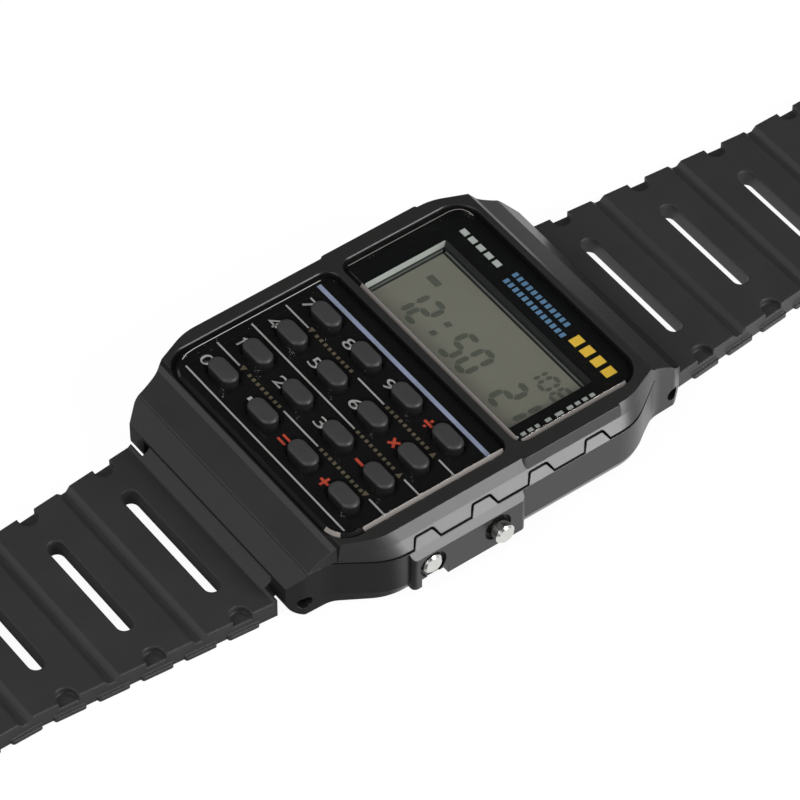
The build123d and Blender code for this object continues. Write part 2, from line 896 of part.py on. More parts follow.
def buzzer_spring():
    """Coil that joins the board to the buzzer disc."""
    low = buzzer_disc_top + seat_gap
    length = board_low - seat_gap - low
    spring = coil(buzzer_spring_radius, buzzer_spring_wire, buzzer_spring_turns, length)
    return Pos(buzzer_spring_x, buzzer_spring_y, low) * spring


def switch_springs():
    """Leaf contacts on the board's edge, one behind each side button."""
    leaves = []
    for name, y in pusher_y.items():
        middle = contact_notch_x + seat_gap + contact_thickness / 2
        leaf = Pos(middle, y) * Rectangle(contact_thickness, contact_width)
        leaves.append(prism(leaf, pusher_z - contact_drop, board_top - contact_top_inset))
    return Compound(leaves)


def case_back():
    """Steel plate with four countersunk screw holes."""
    plate = prism(plate_plan(0), 0, plate_thickness)
    plate = chamfer(plate.edges().group_by(Axis.Z)[0], plate_edge)
    for x, y in back_screw_places():
        plate = plate - upright(x, y, back_screw_radius + screw_gap, -overrun, plate_thickness + overrun)
        head = back_screw_head_radius + screw_gap
        plate = plate - upright(x, y, head, -overrun, 2 * screw_gap + back_screw_head + seat_gap)
    return plate


def back_gasket():
    """Rubber ring in its groove over the plate."""
    return prism(gasket_ring(0), plate_thickness, plate_thickness + gasket_height)


def back_screws():
    """The four screws of the plate."""
    screws = []
    for x, y in back_screw_places():
        low = 2 * screw_gap
        head = upright(x, y, back_screw_head_radius, low, low + back_screw_head)
        slot = Pos(x, y) * Rectangle(2 * back_screw_head_radius, screw_slot_width)
        head = head - prism(slot, low, low + screw_slot_depth)
        top = case_bottom + back_screw_reach
        screws.append(head + upright(x, y, back_screw_radius, low + back_screw_head, top))
    return Compound(screws)


def pusher(name):
    """Side button with its stem."""
    y = pusher_y[name]
    face = guard_x + pusher_stand[name]
    head = rod(y, pusher_z, pusher_head_radius, pusher_head_inner_x, face)
    head = chamfer(head.edges().group_by(Axis.X)[-1], pusher_chamfer)
    groove = rod(y, pusher_z, pusher_head_radius + overrun, pusher_groove_low_x, pusher_groove_high_x)
    core = rod(y, pusher_z, pusher_groove_radius, pusher_groove_low_x, pusher_groove_high_x)
    stem = rod(y, pusher_z, pusher_stem_radius, pusher_stem_end_x, pusher_head_inner_x)
    waist = rod(y, pusher_z, pusher_stem_radius + overrun, retainer_low_x, retainer_high_x)
    waist = waist - rod(y, pusher_z, retainer_groove_radius, retainer_low_x, retainer_high_x)
    return head - (groove - core) + (stem - waist)


def pusher_spring(name):
    """Return spring round the stem."""
    low = pusher_step_x + seat_gap
    length = pusher_head_inner_x - seat_gap - low
    inner = pusher_stem_radius + pusher_spring_gap
    spring = coil(inner + pusher_spring_wire, pusher_spring_wire, pusher_spring_turns, length)
    return Pos(low, pusher_y[name], pusher_z) * Rot(0, 90, 0) * spring


def pusher_seal(name):
    """Rubber ring in the head's groove."""
    low = pusher_groove_low_x + ring_gap
    high = pusher_groove_high_x - ring_gap
    y = pusher_y[name]
    ring = rod(y, pusher_z, pusher_head_radius + ring_gap, low, high)
    return ring - rod(y, pusher_z, pusher_groove_radius + ring_gap, low, high)


def pusher_clip(name):
    """Open retaining ring in the stem's groove, inside the case."""
    y = pusher_y[name]
    low = retainer_low_x + ring_gap
    high = retainer_high_x - ring_gap
    core = retainer_groove_radius + ring_gap
    ring = rod(y, pusher_z, retainer_radius, low, high) - rod(y, pusher_z, core, low, high)
    mouth = Pos(y, pusher_z - retainer_radius) * Rectangle(retainer_mouth, 2 * retainer_radius)
    return ring - across(mouth, low, high)


def strap_half_width_at(s):
    """The strap narrows evenly, then keeps its width."""
    share = min(s / strap_taper_length, 1)
    return strap_root_half_width + (strap_half_width - strap_root_half_width) * share


def strap_plan(end_s, tip_radius):
    """Plan of one strap half, its tongue between the lugs."""
    shoulder = case_half_length + strap_shoulder_s
    root = strap_half_width_at(strap_shoulder_s)
    taper_end = case_half_length + strap_taper_length
    far = case_half_length + end_s
    right = [
        (strap_tongue_half_width, spring_bar_y - 2 * strap_barrel_radius),
        (strap_tongue_half_width, shoulder),
        (root, shoulder),
        (strap_half_width, taper_end),
        (strap_half_width, far),
    ]
    left = [(-x, y) for x, y in reversed(right)]
    plan = Polygon(*right, *left, align=None)
    if tip_radius:
        plan = fillet(plan.vertices().sort_by(Axis.Y)[-2:], tip_radius)
    return plan


def strap_root_profile():
    """Barrel round the spring bar and the neck that leaves it, as Y and Z points."""
    barrel = Pos(spring_bar_y, spring_bar_z) * Circle(strap_barrel_radius)
    neck = Polygon(
        (spring_bar_y, spring_bar_z - strap_barrel_radius),
        (case_half_length + neck_foot_s, 0),
        (case_half_length + neck_shoulder_s, 0),
        (case_half_length + neck_shoulder_s, strap_thickness),
        (spring_bar_y, spring_bar_z + strap_barrel_radius),
        align=None,
    )
    return barrel + neck


def strap_slots():
    """Long slots through the strap, with half-round pockets at its edges."""
    cuts = []
    for k in range(slot_count):
        s = slot_first_s + k * slot_pitch
        y = case_half_length + s
        length = 2 * (slot_first_half_length - k * slot_shortening)
        slot = Pos(0, y) * SlotOverall(length, slot_width)
        cuts.append(prism(slot, -overrun, strap_thickness + overrun))
        for side in (-1, 1):
            edge = side * strap_half_width_at(s)
            pocket = Pos(edge, y) * SlotOverall(2 * pocket_depth_x, 2 * pocket_radius)
            cuts.append(prism(pocket, strap_thickness - pocket_depth_z, strap_thickness + overrun))
    return cuts


def strap_grooves():
    """Cross grooves with sloping sides between the slots."""
    cuts = []
    for k in range(slot_count):
        y = case_half_length + slot_first_s + slot_pitch / 2 + k * slot_pitch
        grow = (groove_top_width - groove_bottom_width) / 2 / groove_depth * overrun
        top = strap_thickness + overrun
        groove = Polygon(
            (y - groove_bottom_width / 2, strap_thickness - groove_depth),
            (y + groove_bottom_width / 2, strap_thickness - groove_depth),
            (y + groove_top_width / 2 + grow, top),
            (y - groove_top_width / 2 - grow, top),
            align=None,
        )
        cuts.append(across(groove, -strap_root_half_width - overrun, strap_root_half_width + overrun))
    return cuts


def scallop(s):
    """One low bump of the strap's right edge."""
    near, far = s - scallop_length / 2, s + scallop_length / 2
    plan = Polygon(
        (strap_half_width_at(near) - scallop_reach, case_half_length + near),
        (strap_half_width_at(near) + scallop_reach, case_half_length + near),
        (strap_half_width_at(far) + scallop_reach, case_half_length + far),
        (strap_half_width_at(far) - scallop_reach, case_half_length + far),
        align=None,
    )
    plan = fillet(plan.vertices().sort_by(Axis.X)[-2:], scallop_corner)
    return prism(plan, 0, scallop_height)


def scallops():
    """The bumps along both edges, beside every slot and groove."""
    places = [slot_first_s + k * slot_pitch / 2 for k in range(2 * slot_count)]
    return [both_sides(scallop(s)) for s in places]


def strap_half(profile, plan):
    """A strap half from its side and plan shapes, slotted, grooved and bored."""
    strap = across(profile, -strap_root_half_width, strap_root_half_width)
    strap = strap & prism(plan, -overrun, spring_bar_z + strap_barrel_radius + overrun)
    for cut in strap_slots() + strap_grooves():
        strap = strap - cut
    for bump in scallops():
        strap = strap + bump
    reach = strap_tongue_half_width + overrun
    return strap - rod(spring_bar_y, spring_bar_z, bar_tube_radius + bar_hole_gap, -reach, reach)


def strap_long():
    """Six o'clock half with the row of holes and a rounded tip."""
    start = case_half_length + strap_shoulder_s
    far = case_half_length + long_strap_length
    band = Polygon((start, 0), (far, 0), (far, strap_thickness), (start, strap_thickness), align=None)
    strap = strap_half(strap_root_profile() + band, strap_plan(long_strap_length, long_tip_radius))
    pitch = strap_hole_span / (strap_hole_count - 1)
    for k in range(strap_hole_count):
        y = case_half_length + strap_hole_first_s + k * pitch
        hole = Pos(0, y) * Rot(0, 0, 90) * SlotOverall(strap_hole_length, strap_hole_width)
        strap = strap - prism(hole, -overrun, strap_thickness + overrun)
    return mirror(strap, Plane.XZ)


def buckle_bar_place():
    """Y and Z of the buckle's bar."""
    return case_half_length + buckle_bar_s, rise + strap_thickness / 2


def strap_short():
    """Twelve o'clock half, raised towards its end for keeper and buckle."""
    start = case_half_length + strap_shoulder_s
    low = case_half_length + rise_start_s
    high = case_half_length + rise_end_s
    bar_y, bar_z = buckle_bar_place()
    bottom = [(start, 0), (low, 0), (high, rise), (bar_y, rise)]
    top = [(y, z + strap_thickness) for y, z in reversed(bottom)]
    band = Polygon(*bottom, *top, align=None) + Pos(bar_y, bar_z) * Circle(strap_end_radius)
    strap = strap_half(strap_root_profile() + band, strap_plan(buckle_bar_s + strap_end_radius, 0))
    reach = strap_half_width + overrun
    strap = strap - rod(bar_y, bar_z, buckle_bar_radius + buckle_hole_gap, -reach, reach)
    notch = plan_box(tongue_notch_half, bar_y - tongue_notch_reach, bar_y + strap_end_radius + overrun)
    return strap - prism(notch, -overrun, bar_z + strap_end_radius + overrun)


def bar_tube(end):
    """Tube of a spring bar, inside the strap's root."""
    outer = rod(end * spring_bar_y, spring_bar_z, bar_tube_radius, -bar_tube_reach, bar_tube_reach)
    return outer - rod(end * spring_bar_y, spring_bar_z, bar_tube_bore, -bar_tube_reach, bar_tube_reach)


def bar_pin(end, side):
    """Sprung pin of a spring bar, its tip in the lug's hole."""
    low = bar_pin_reach - bar_pin_length
    pin = rod(end * spring_bar_y, spring_bar_z, bar_pin_radius, low, bar_pin_reach)
    pin = chamfer(pin.edges().group_by(Axis.X)[-1], bar_pin_radius / 3)
    return pin if side > 0 else mirror(pin, Plane.YZ)


def bar_spring(end):
    """Coil between the two pins of a spring bar."""
    reach = bar_pin_reach - bar_pin_length - seat_gap
    radius = bar_tube_bore - bar_spring_wire - bar_spring_gap
    spring = coil(radius, bar_spring_wire, bar_spring_turns, 2 * reach)
    return Pos(-reach, end * spring_bar_y, spring_bar_z) * Rot(0, 90, 0) * spring


def buckle_bar():
    """Bar through the strap's end, the tongue and the buckle's arms."""
    y, z = buckle_bar_place()
    return rod(y, z, buckle_bar_radius, -buckle_bar_reach, buckle_bar_reach)


def strap_keeper():
    """Loop round the short half, with room for the other half on top."""
    low = rise - keeper_under_gap - keeper_wall
    high = rise + strap_thickness + keeper_room + keeper_wall
    inner_half = strap_half_width + keeper_side_gap
    outer_half = inner_half + keeper_wall
    middle = Pos(0, (low + high) / 2)
    outer = middle * RectangleRounded(2 * outer_half, high - low, keeper_corner)
    inner = middle * Rectangle(2 * inner_half, high - low - 2 * keeper_wall)
    y = case_half_length + keeper_rest_s
    return Pos(0, y, 0) * extrude(Plane.XZ * (outer - inner), keeper_length / 2, both=True)


def buckle_frame():
    """Two arms from the bar to a round front bar."""
    y, z = buckle_bar_place()
    front_y = y + buckle_reach
    arm_back = Pos(y, z) * Circle(buckle_arm_radius)
    arm_front = Pos(front_y, buckle_front_radius) * Circle(buckle_front_radius)
    web = Polygon(
        (y, z - buckle_arm_radius),
        (front_y, 0),
        (front_y, 2 * buckle_front_radius),
        (y, z + buckle_arm_radius),
        align=None,
    )
    arm = across(arm_back + arm_front + web, buckle_arm_inner_x, buckle_arm_outer_x)
    frame = both_sides(arm)
    frame = frame + rod(
        front_y, buckle_front_radius, buckle_front_radius, -buckle_arm_outer_x, buckle_arm_outer_x
    )
    reach = buckle_arm_outer_x + overrun
    return frame - rod(y, z, buckle_bar_radius + buckle_hole_gap, -reach, reach)


def buckle_tongue():
    """Tongue with its eye round the bar, resting on the front bar."""
    y, z = buckle_bar_place()
    front_y = y + buckle_reach
    rest = 2 * buckle_front_radius + tongue_rest_gap
    stem = Polygon(
        (y, z - tongue_eye_radius),
        (front_y - buckle_front_radius, rest),
        (front_y + tongue_overhang, rest),
        (front_y + tongue_overhang, rest + tongue_thickness),
        (front_y, rest + tongue_thickness),
        (y, z + tongue_eye_radius),
        align=None,
    )
    eye = Pos(y, z) * Circle(tongue_eye_radius)
    tongue = across(stem + eye, -tongue_half_width, tongue_half_width)
    return tongue - rod(y, z, buckle_bar_radius + buckle_hole_gap, -tongue_half_width, tongue_half_width)


def write(name, shape):
    """One file for one sub-part."""
    solids = shape.solids()
    export_step(solids[0] if len(solids) == 1 else Compound(solids), f"parts/{name}.step")


os.makedirs("parts", exist_ok=True)

write("case_body", case_body())
write("top_bezel", top_bezel())
write("keypad_panel", keypad_panel())
write("display_glass", display_glass())
write("keypad_membrane", keypad_membrane())
for key_name, key_x, key_y in key_places():
    write(f"key_{key_name}", key(key_x, key_y))
write("lcd_cell", lcd_cell())
write("zebra_strips", zebra_strips())
write("module_frame", module_frame())
write("circuit_board", circuit_board())
write("module_screws", module_screws())
write("processor_chip", processor_chip())
write("quartz_crystal", crystal_rod(0))
write("trim_capacitor", trim_capacitor())
write("battery", battery())
write("battery_clip", battery_clip())
write("insulator_sheet", insulator_sheet())
write("buzzer_disc", buzzer_disc())
write("buzzer_spring", buzzer_spring())
write("switch_springs", switch_springs())
write("case_back", case_back())
write("back_gasket", back_gasket())
write("back_screws", back_screws())
for place in pusher_y:
    write(f"pusher_{place}", pusher(place))
    write(f"pusher_spring_{place}", pusher_spring(place))
    write(f"pusher_seal_{place}", pusher_seal(place))
    write(f"pusher_clip_{place}", pusher_clip(place))
write("strap_long", strap_long())
write("strap_short", strap_short())
for hour, end in (("six", -1), ("twelve", 1)):
    write(f"bar_tube_{hour}", bar_tube(end))
    write(f"bar_spring_{hour}", bar_spring(end))
    write(f"bar_pin_{hour}_right", bar_pin(end, 1))
    write(f"bar_pin_{hour}_left", bar_pin(end, -1))
write("strap_keeper", strap_keeper())
write("buckle_bar", buckle_bar())
write("buckle_frame", buckle_frame())
write("buckle_tongue", buckle_tongue())
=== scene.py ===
import bmesh
import bpy
import math
from mathutils import Matrix, Vector


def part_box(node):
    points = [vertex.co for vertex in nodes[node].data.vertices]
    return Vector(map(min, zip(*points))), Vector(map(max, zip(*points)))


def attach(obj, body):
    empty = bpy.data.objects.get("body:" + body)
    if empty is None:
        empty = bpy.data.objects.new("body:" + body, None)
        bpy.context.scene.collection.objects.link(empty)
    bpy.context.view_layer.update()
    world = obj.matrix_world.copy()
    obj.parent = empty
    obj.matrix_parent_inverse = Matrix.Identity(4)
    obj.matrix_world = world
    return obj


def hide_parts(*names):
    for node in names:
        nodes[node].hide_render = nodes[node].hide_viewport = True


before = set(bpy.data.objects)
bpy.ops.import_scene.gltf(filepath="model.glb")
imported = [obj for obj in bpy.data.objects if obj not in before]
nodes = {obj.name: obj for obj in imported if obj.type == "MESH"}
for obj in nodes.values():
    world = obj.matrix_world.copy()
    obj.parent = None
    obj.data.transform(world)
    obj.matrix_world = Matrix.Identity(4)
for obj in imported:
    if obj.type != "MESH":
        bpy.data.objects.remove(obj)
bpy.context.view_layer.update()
mm = 0.001
print("stage: frame loaded")


# Helpers

def linear(hexColour):
    # sRGB hex to the linear colour that shaders take
    parts = [int(hexColour[i:i + 2], 16) / 255 for i in (1, 3, 5)]
    return [c / 12.92 if c <= 0.04045 else ((c + 0.055) / 1.055) ** 2.4 for c in parts] + [1]


def setInputs(tree, node, links):
    for name, value in links.items():
        if isinstance(value, bpy.types.NodeSocket):
            tree.links.new(value, node.inputs[name])
        else:
            node.inputs[name].default_value = value


def addNode(tree, kind, settings=None, links=None):
    # one node with its settings; a link value is another node's socket or a plain value
    node = tree.nodes.new(kind)
    for name, value in (settings or {}).items():
        setattr(node, name, value)
    setInputs(tree, node, links or {})
    return node


def newMaterial(name):
    material = bpy.data.materials.new(name)
    material.use_nodes = True
    tree = material.node_tree
    tree.nodes.clear()
    shader = addNode(tree, "ShaderNodeBsdfPrincipled")
    output = addNode(tree, "ShaderNodeOutputMaterial", links={"Surface": shader.outputs[0]})
    place = addNode(tree, "ShaderNodeTexCoord").outputs["Object"]
    return material, tree, shader, place, output


# What a look has where it says nothing else, and how each noise is layered
plainLook = {"stretch": (1, 1, 1), "edgeMm": 0.05, "metallic": 0.0, "specular": 0.5, "ior": 1.5}
patchNoise = {"Detail": 4.0, "Roughness": 0.6}
grainNoise = {"Detail": 3.0, "Roughness": 0.55}
hazeNoise = {"Detail": 3.0, "Roughness": 0.5}
bevelSamples = 4
fresnelPower = 5.0


def surface(name, given):
    # two close colours in soft patches, uneven gloss and a fine grain, stretched where the look says so
    look = plainLook | given
    material, tree, shader, place, output = newMaterial(name)
    stretch = addNode(tree, "ShaderNodeMapping", links={"Vector": place, "Scale": look["stretch"]})
    patches = addNode(tree, "ShaderNodeTexNoise", links=patchNoise | {
        "Vector": stretch.outputs[0], "Scale": 1 / (look["patchMm"] * mm)})
    colour = addNode(tree, "ShaderNodeMix", {"data_type": "RGBA"}, {0: patches.outputs[0]})
    colour.inputs[6].default_value = linear(look["dark"])
    colour.inputs[7].default_value = linear(look["light"])
    gloss = addNode(tree, "ShaderNodeMapRange", links={
        "Value": patches.outputs[0], "To Min": look["roughness"][0], "To Max": look["roughness"][1]})
    grain = addNode(tree, "ShaderNodeTexNoise", links=grainNoise | {
        "Vector": stretch.outputs[0], "Scale": 1 / (look["grainMm"] * mm)})
    edges = addNode(tree, "ShaderNodeBevel", {"samples": bevelSamples}, {"Radius": look["edgeMm"] * mm})
    bump = addNode(tree, "ShaderNodeBump", links={
        "Height": grain.outputs[0], "Strength": look["grainStrength"], "Distance": look["grainDepthMm"] * mm,
        "Normal": edges.outputs[0]})
    setInputs(tree, shader, {
        "Base Color": colour.outputs[2], "Roughness": gloss.outputs[0], "Normal": bump.outputs[0],
        "IOR": look["ior"], "Metallic": look["metallic"], "Specular IOR Level": look["specular"]})
    if "core" in look:
        paintCore(tree, shader, place, colour, gloss, look["core"])
    return material


def paintCore(tree, shader, place, colour, gloss, core):
    # a matte black coat inside a box in the piece's own frame, the look's patches outside it: on the face frame
    # the coat is black print, on the keys it is painted shade that darkens their sides below the tops
    offset = addNode(tree, "ShaderNodeVectorMath", {"operation": "SUBTRACT"}, {0: place, 1: core["centre"]})
    spread = addNode(tree, "ShaderNodeVectorMath", {"operation": "DIVIDE"}, {
        0: offset.outputs[0], 1: core["half"]})
    away = addNode(tree, "ShaderNodeVectorMath", {"operation": "ABSOLUTE"}, {0: spread.outputs[0]})
    axes = addNode(tree, "ShaderNodeSeparateXYZ", links={0: away.outputs[0]}).outputs
    wide = addNode(tree, "ShaderNodeMath", {"operation": "MAXIMUM"}, {0: axes[0], 1: axes[1]})
    far = addNode(tree, "ShaderNodeMath", {"operation": "MAXIMUM"}, {0: wide.outputs[0], 1: axes[2]})
    outside = addNode(tree, "ShaderNodeMapRange", links={
        "Value": far.outputs[0], "From Min": 1.0, "From Max": 1.0 + core["fade"]})
    coat = addNode(tree, "ShaderNodeMix", {"data_type": "RGBA"}, {
        0: outside.outputs[0], 7: colour.outputs[2]})
    coat.inputs[6].default_value = linear(core["colour"])
    dull = addNode(tree, "ShaderNodeMapRange", links={
        "Value": outside.outputs[0], "To Min": core["roughness"], "To Max": gloss.outputs[0]})
    shine = addNode(tree, "ShaderNodeMapRange", links={
        "Value": outside.outputs[0], "To Min": core["specular"], "To Max": plainLook["specular"]})
    setInputs(tree, shader, {"Base Color": coat.outputs[2], "Roughness": dull.outputs[0],
                             "Specular IOR Level": shine.outputs[0]})


def clearSurface(name, look):
    # polished and clear: what lies behind shows straight through, and its faces mirror the studio
    material, tree, shader, place, output = newMaterial(name)
    tree.nodes.remove(shader)
    haze = addNode(tree, "ShaderNodeTexNoise", links=hazeNoise | {
        "Vector": place, "Scale": 1 / (look["patchMm"] * mm)})
    gloss = addNode(tree, "ShaderNodeMapRange", links={
        "Value": haze.outputs[0], "To Min": look["roughness"][0], "To Max": look["roughness"][1]})
    mirror = addNode(tree, "ShaderNodeBsdfAnisotropic", links={
        "Color": linear("#ffffff"), "Roughness": gloss.outputs[0]})
    passing = addNode(tree, "ShaderNodeBsdfTransparent", links={"Color": linear(look["tint"])})
    facing = addNode(tree, "ShaderNodeLayerWeight", links={"Blend": 0.5}).outputs["Facing"]
    steep = addNode(tree, "ShaderNodeMath", {"operation": "POWER"}, {0: facing, 1: fresnelPower})
    share = addNode(tree, "ShaderNodeMapRange", links={
        "Value": steep.outputs[0], "To Min": look["mirror"], "To Max": look["grazing"]})
    mix = addNode(tree, "ShaderNodeMixShader", links={
        0: share.outputs[0], 1: passing.outputs[0], 2: mirror.outputs[0]})
    tree.links.new(mix.outputs[0], output.inputs["Surface"])
    return material


# Materials, each named for what the real thing is

finishes = {
    # moulded acrylonitrile butadiene styrene: near black, satin, light slides softly over its slopes
    "caseAbs": {"dark": "#111112", "light": "#171718", "patchMm": 6.0, "roughness": (0.30, 0.38),
                "grainMm": 0.12, "grainDepthMm": 0.004, "grainStrength": 0.25, "edgeMm": 0.12},
    # the same resin on the face frame, a little lighter; its key plate and recesses are coated matte black
    "frameAbs": {"dark": "#1b1b1b", "light": "#222221", "patchMm": 6.0, "roughness": (0.32, 0.40),
                 "grainMm": 0.12, "grainDepthMm": 0.004, "grainStrength": 0.25, "edgeMm": 0.09,
                 "core": {"centre": (0, -0.4 * mm, 0), "half": (13.34 * mm, 16.8 * mm, 7.87 * mm),
                          "colour": "#0c0c0d", "roughness": 0.45, "specular": 0.12, "fade": 0.0005}},
    # moulded polyurethane strap: matte brown black with a fine even grain
    "strapPolyurethane": {"dark": "#212020", "light": "#282727", "patchMm": 5.0, "roughness": (0.50, 0.60),
                          "grainMm": 0.15, "grainDepthMm": 0.008, "grainStrength": 0.4, "edgeMm": 0.28},
    # moulded acetal keys: dark grey and silky, their sides below the tops painted darker as painted shade, so
    # the tops stay lighter
    "keyAcetal": {"dark": "#29292a", "light": "#303031", "patchMm": 1.6, "roughness": (0.50, 0.60),
                  "grainMm": 0.10, "grainDepthMm": 0.005, "grainStrength": 0.3,
                  "core": {"centre": (0, 0, 0), "half": (1, 1, 7.93 * mm), "colour": "#19191a",
                           "roughness": 0.45, "specular": 0.25, "fade": 0.032}},
    # liquid crystal cell behind its polariser: warm grey green, slightly milky
    "crystalCell": {"dark": "#78746a", "light": "#7f7b71", "patchMm": 5.0, "roughness": (0.30, 0.40),
                    "grainMm": 0.20, "grainDepthMm": 0.001, "grainStrength": 0.1},
    # darkened liquid crystal segments: grey with a green cast, low in contrast
    "crystalSegment": {"dark": "#55574e", "light": "#5b5d54", "patchMm": 1.0, "roughness": (0.30, 0.40),
                       "grainMm": 0.20, "grainDepthMm": 0.001, "grainStrength": 0.1},
    # screen printed enamel inks, even and slightly raised; the white one also draws the painted highlight along
    # the panel's edge
    "whiteInkAndHighlight": {"dark": "#b4b4b2", "light": "#c0c0be", "patchMm": 0.5, "roughness": (0.40, 0.50),
                 "grainMm": 0.06, "grainDepthMm": 0.001, "grainStrength": 0.2},
    "creamInk": {"dark": "#665d47", "light": "#70674f", "patchMm": 0.5, "roughness": (0.40, 0.50),
                 "grainMm": 0.06, "grainDepthMm": 0.001, "grainStrength": 0.2},
    "orangeInk": {"dark": "#c8452a", "light": "#d24f33", "patchMm": 0.5, "roughness": (0.40, 0.50),
                  "grainMm": 0.06, "grainDepthMm": 0.001, "grainStrength": 0.2},
    "blueInk": {"dark": "#5b82a8", "light": "#658cb2", "patchMm": 0.5, "roughness": (0.40, 0.50),
                "grainMm": 0.06, "grainDepthMm": 0.001, "grainStrength": 0.2},
    "yellowInk": {"dark": "#f0bd36", "light": "#f7c643", "patchMm": 0.5, "roughness": (0.40, 0.50),
                  "grainMm": 0.06, "grainDepthMm": 0.001, "grainStrength": 0.2},
    "lilacInk": {"dark": "#96a0ba", "light": "#9ea8c2", "patchMm": 0.5, "roughness": (0.40, 0.50),
                 "grainMm": 0.06, "grainDepthMm": 0.001, "grainStrength": 0.2},
    # the spacer round the cell: black nylon, its black also laid on the window's step as painted shade; a grey
    # painted highlight along that step; and a pale painted reflection on the slope's side that faces the light
    "spacerBlackAndShade": {"dark": "#191919", "light": "#212121", "patchMm": 2.0, "roughness": (0.35, 0.45),
                    "grainMm": 0.12, "grainDepthMm": 0.003, "grainStrength": 0.2},
    "spacerStepHighlight": {"dark": "#5a5a57", "light": "#646461", "patchMm": 2.0, "roughness": (0.35, 0.45),
                   "grainMm": 0.12, "grainDepthMm": 0.003, "grainStrength": 0.2},
    "spacerSlopeReflection": {"dark": "#b0b0ac", "light": "#bcbcb8", "patchMm": 2.0, "roughness": (0.30, 0.40),
                   "grainMm": 0.12, "grainDepthMm": 0.002, "grainStrength": 0.2},
    # painted highlight on the bevels of the clear pieces, where they face the light: pale and faintly pink
    "bevelHighlight": {"dark": "#76716d", "light": "#807b77", "patchMm": 3.0, "roughness": (0.55, 0.65),
                  "grainMm": 0.20, "grainDepthMm": 0.001, "grainStrength": 0.1, "specular": 0.15},
    # painted shade on the same bevel where it faces away from the light and is backed with black print: a dark
    # strip laid over the bevel's reflections
    "bevelShade": {"dark": "#0d0d0d", "light": "#121212", "patchMm": 3.0, "roughness": (0.55, 0.65),
                   "grainMm": 0.20, "grainDepthMm": 0.001, "grainStrength": 0.1, "specular": 0.10},
    # stainless steel turned on a lathe, bright with faint rings
    "turnedSteel": {"dark": "#c4c4c1", "light": "#dcdcd8", "patchMm": 0.8, "roughness": (0.14, 0.24),
                    "grainMm": 0.05, "grainDepthMm": 0.002, "grainStrength": 0.2, "metallic": 1.0},
    # stainless steel sheet brushed along the width, as on a buckle or a back plate
    "brushedSteel": {"dark": "#a6a6a4", "light": "#bdbdba", "patchMm": 1.0, "roughness": (0.28, 0.40),
                     "grainMm": 0.10, "grainDepthMm": 0.004, "grainStrength": 0.4, "metallic": 1.0,
                     "stretch": (0.05, 1, 1)},
    # spring wire and screws: harder, darker steel
    "springSteel": {"dark": "#8b8b8a", "light": "#a2a29f", "patchMm": 0.4, "roughness": (0.22, 0.34),
                    "grainMm": 0.05, "grainDepthMm": 0.002, "grainStrength": 0.2, "metallic": 1.0},
    # nitrile seals and silicone sheet: dull, a little chalky
    "sealRubber": {"dark": "#1c1c1c", "light": "#262626", "patchMm": 1.0, "roughness": (0.60, 0.75),
                   "grainMm": 0.08, "grainDepthMm": 0.004, "grainStrength": 0.3},
    "membraneSilicone": {"dark": "#3f4143", "light": "#4a4c4e", "patchMm": 1.5, "roughness": (0.50, 0.65),
                         "grainMm": 0.10, "grainDepthMm": 0.004, "grainStrength": 0.3},
    # glass filled nylon module frame: off white, faintly mottled
    "frameNylon": {"dark": "#d2d1cb", "light": "#dedcd6", "patchMm": 2.0, "roughness": (0.42, 0.55),
                   "grainMm": 0.12, "grainDepthMm": 0.004, "grainStrength": 0.3},
    # epoxy laminate under green solder mask, with the weave just showing
    "boardLaminate": {"dark": "#1f5a33", "light": "#2a6c3f", "patchMm": 1.2, "roughness": (0.25, 0.38),
                      "grainMm": 0.30, "grainDepthMm": 0.006, "grainStrength": 0.4, "stretch": (1, 0.3, 1)},
    # potting resin over the chip: black and lumpy
    "chipEpoxy": {"dark": "#141414", "light": "#1d1d1d", "patchMm": 0.8, "roughness": (0.25, 0.40),
                  "grainMm": 0.50, "grainDepthMm": 0.020, "grainStrength": 0.4},
    # brass sheet with dull warm patches
    "sheetBrass": {"dark": "#b8954a", "light": "#cfae62", "patchMm": 2.0, "roughness": (0.25, 0.40),
                   "grainMm": 0.10, "grainDepthMm": 0.002, "grainStrength": 0.2, "metallic": 1.0},
    # polyimide film: amber with a silky gloss
    "polyimideFilm": {"dark": "#a8772a", "light": "#bb8a3a", "patchMm": 3.0, "roughness": (0.20, 0.32),
                      "grainMm": 0.20, "grainDepthMm": 0.002, "grainStrength": 0.2},
}
clearFinishes = {
    # cast acrylic panel: clear as water, its bevel catches the light
    "clearAcrylic": {"tint": "#f2f2f2", "patchMm": 3.0, "roughness": (0.02, 0.06),
                     "mirror": 0.05, "grazing": 0.25},
    # flat mineral glass over the display
    "mineralGlass": {"tint": "#f2f4f3", "patchMm": 4.0, "roughness": (0.02, 0.05),
                     "mirror": 0.05, "grazing": 0.25},
}
materials = {name: surface(name, look) for name, look in finishes.items()}
materials.update({name: clearSurface(name, look) for name, look in clearFinishes.items()})
print("stage: materials")

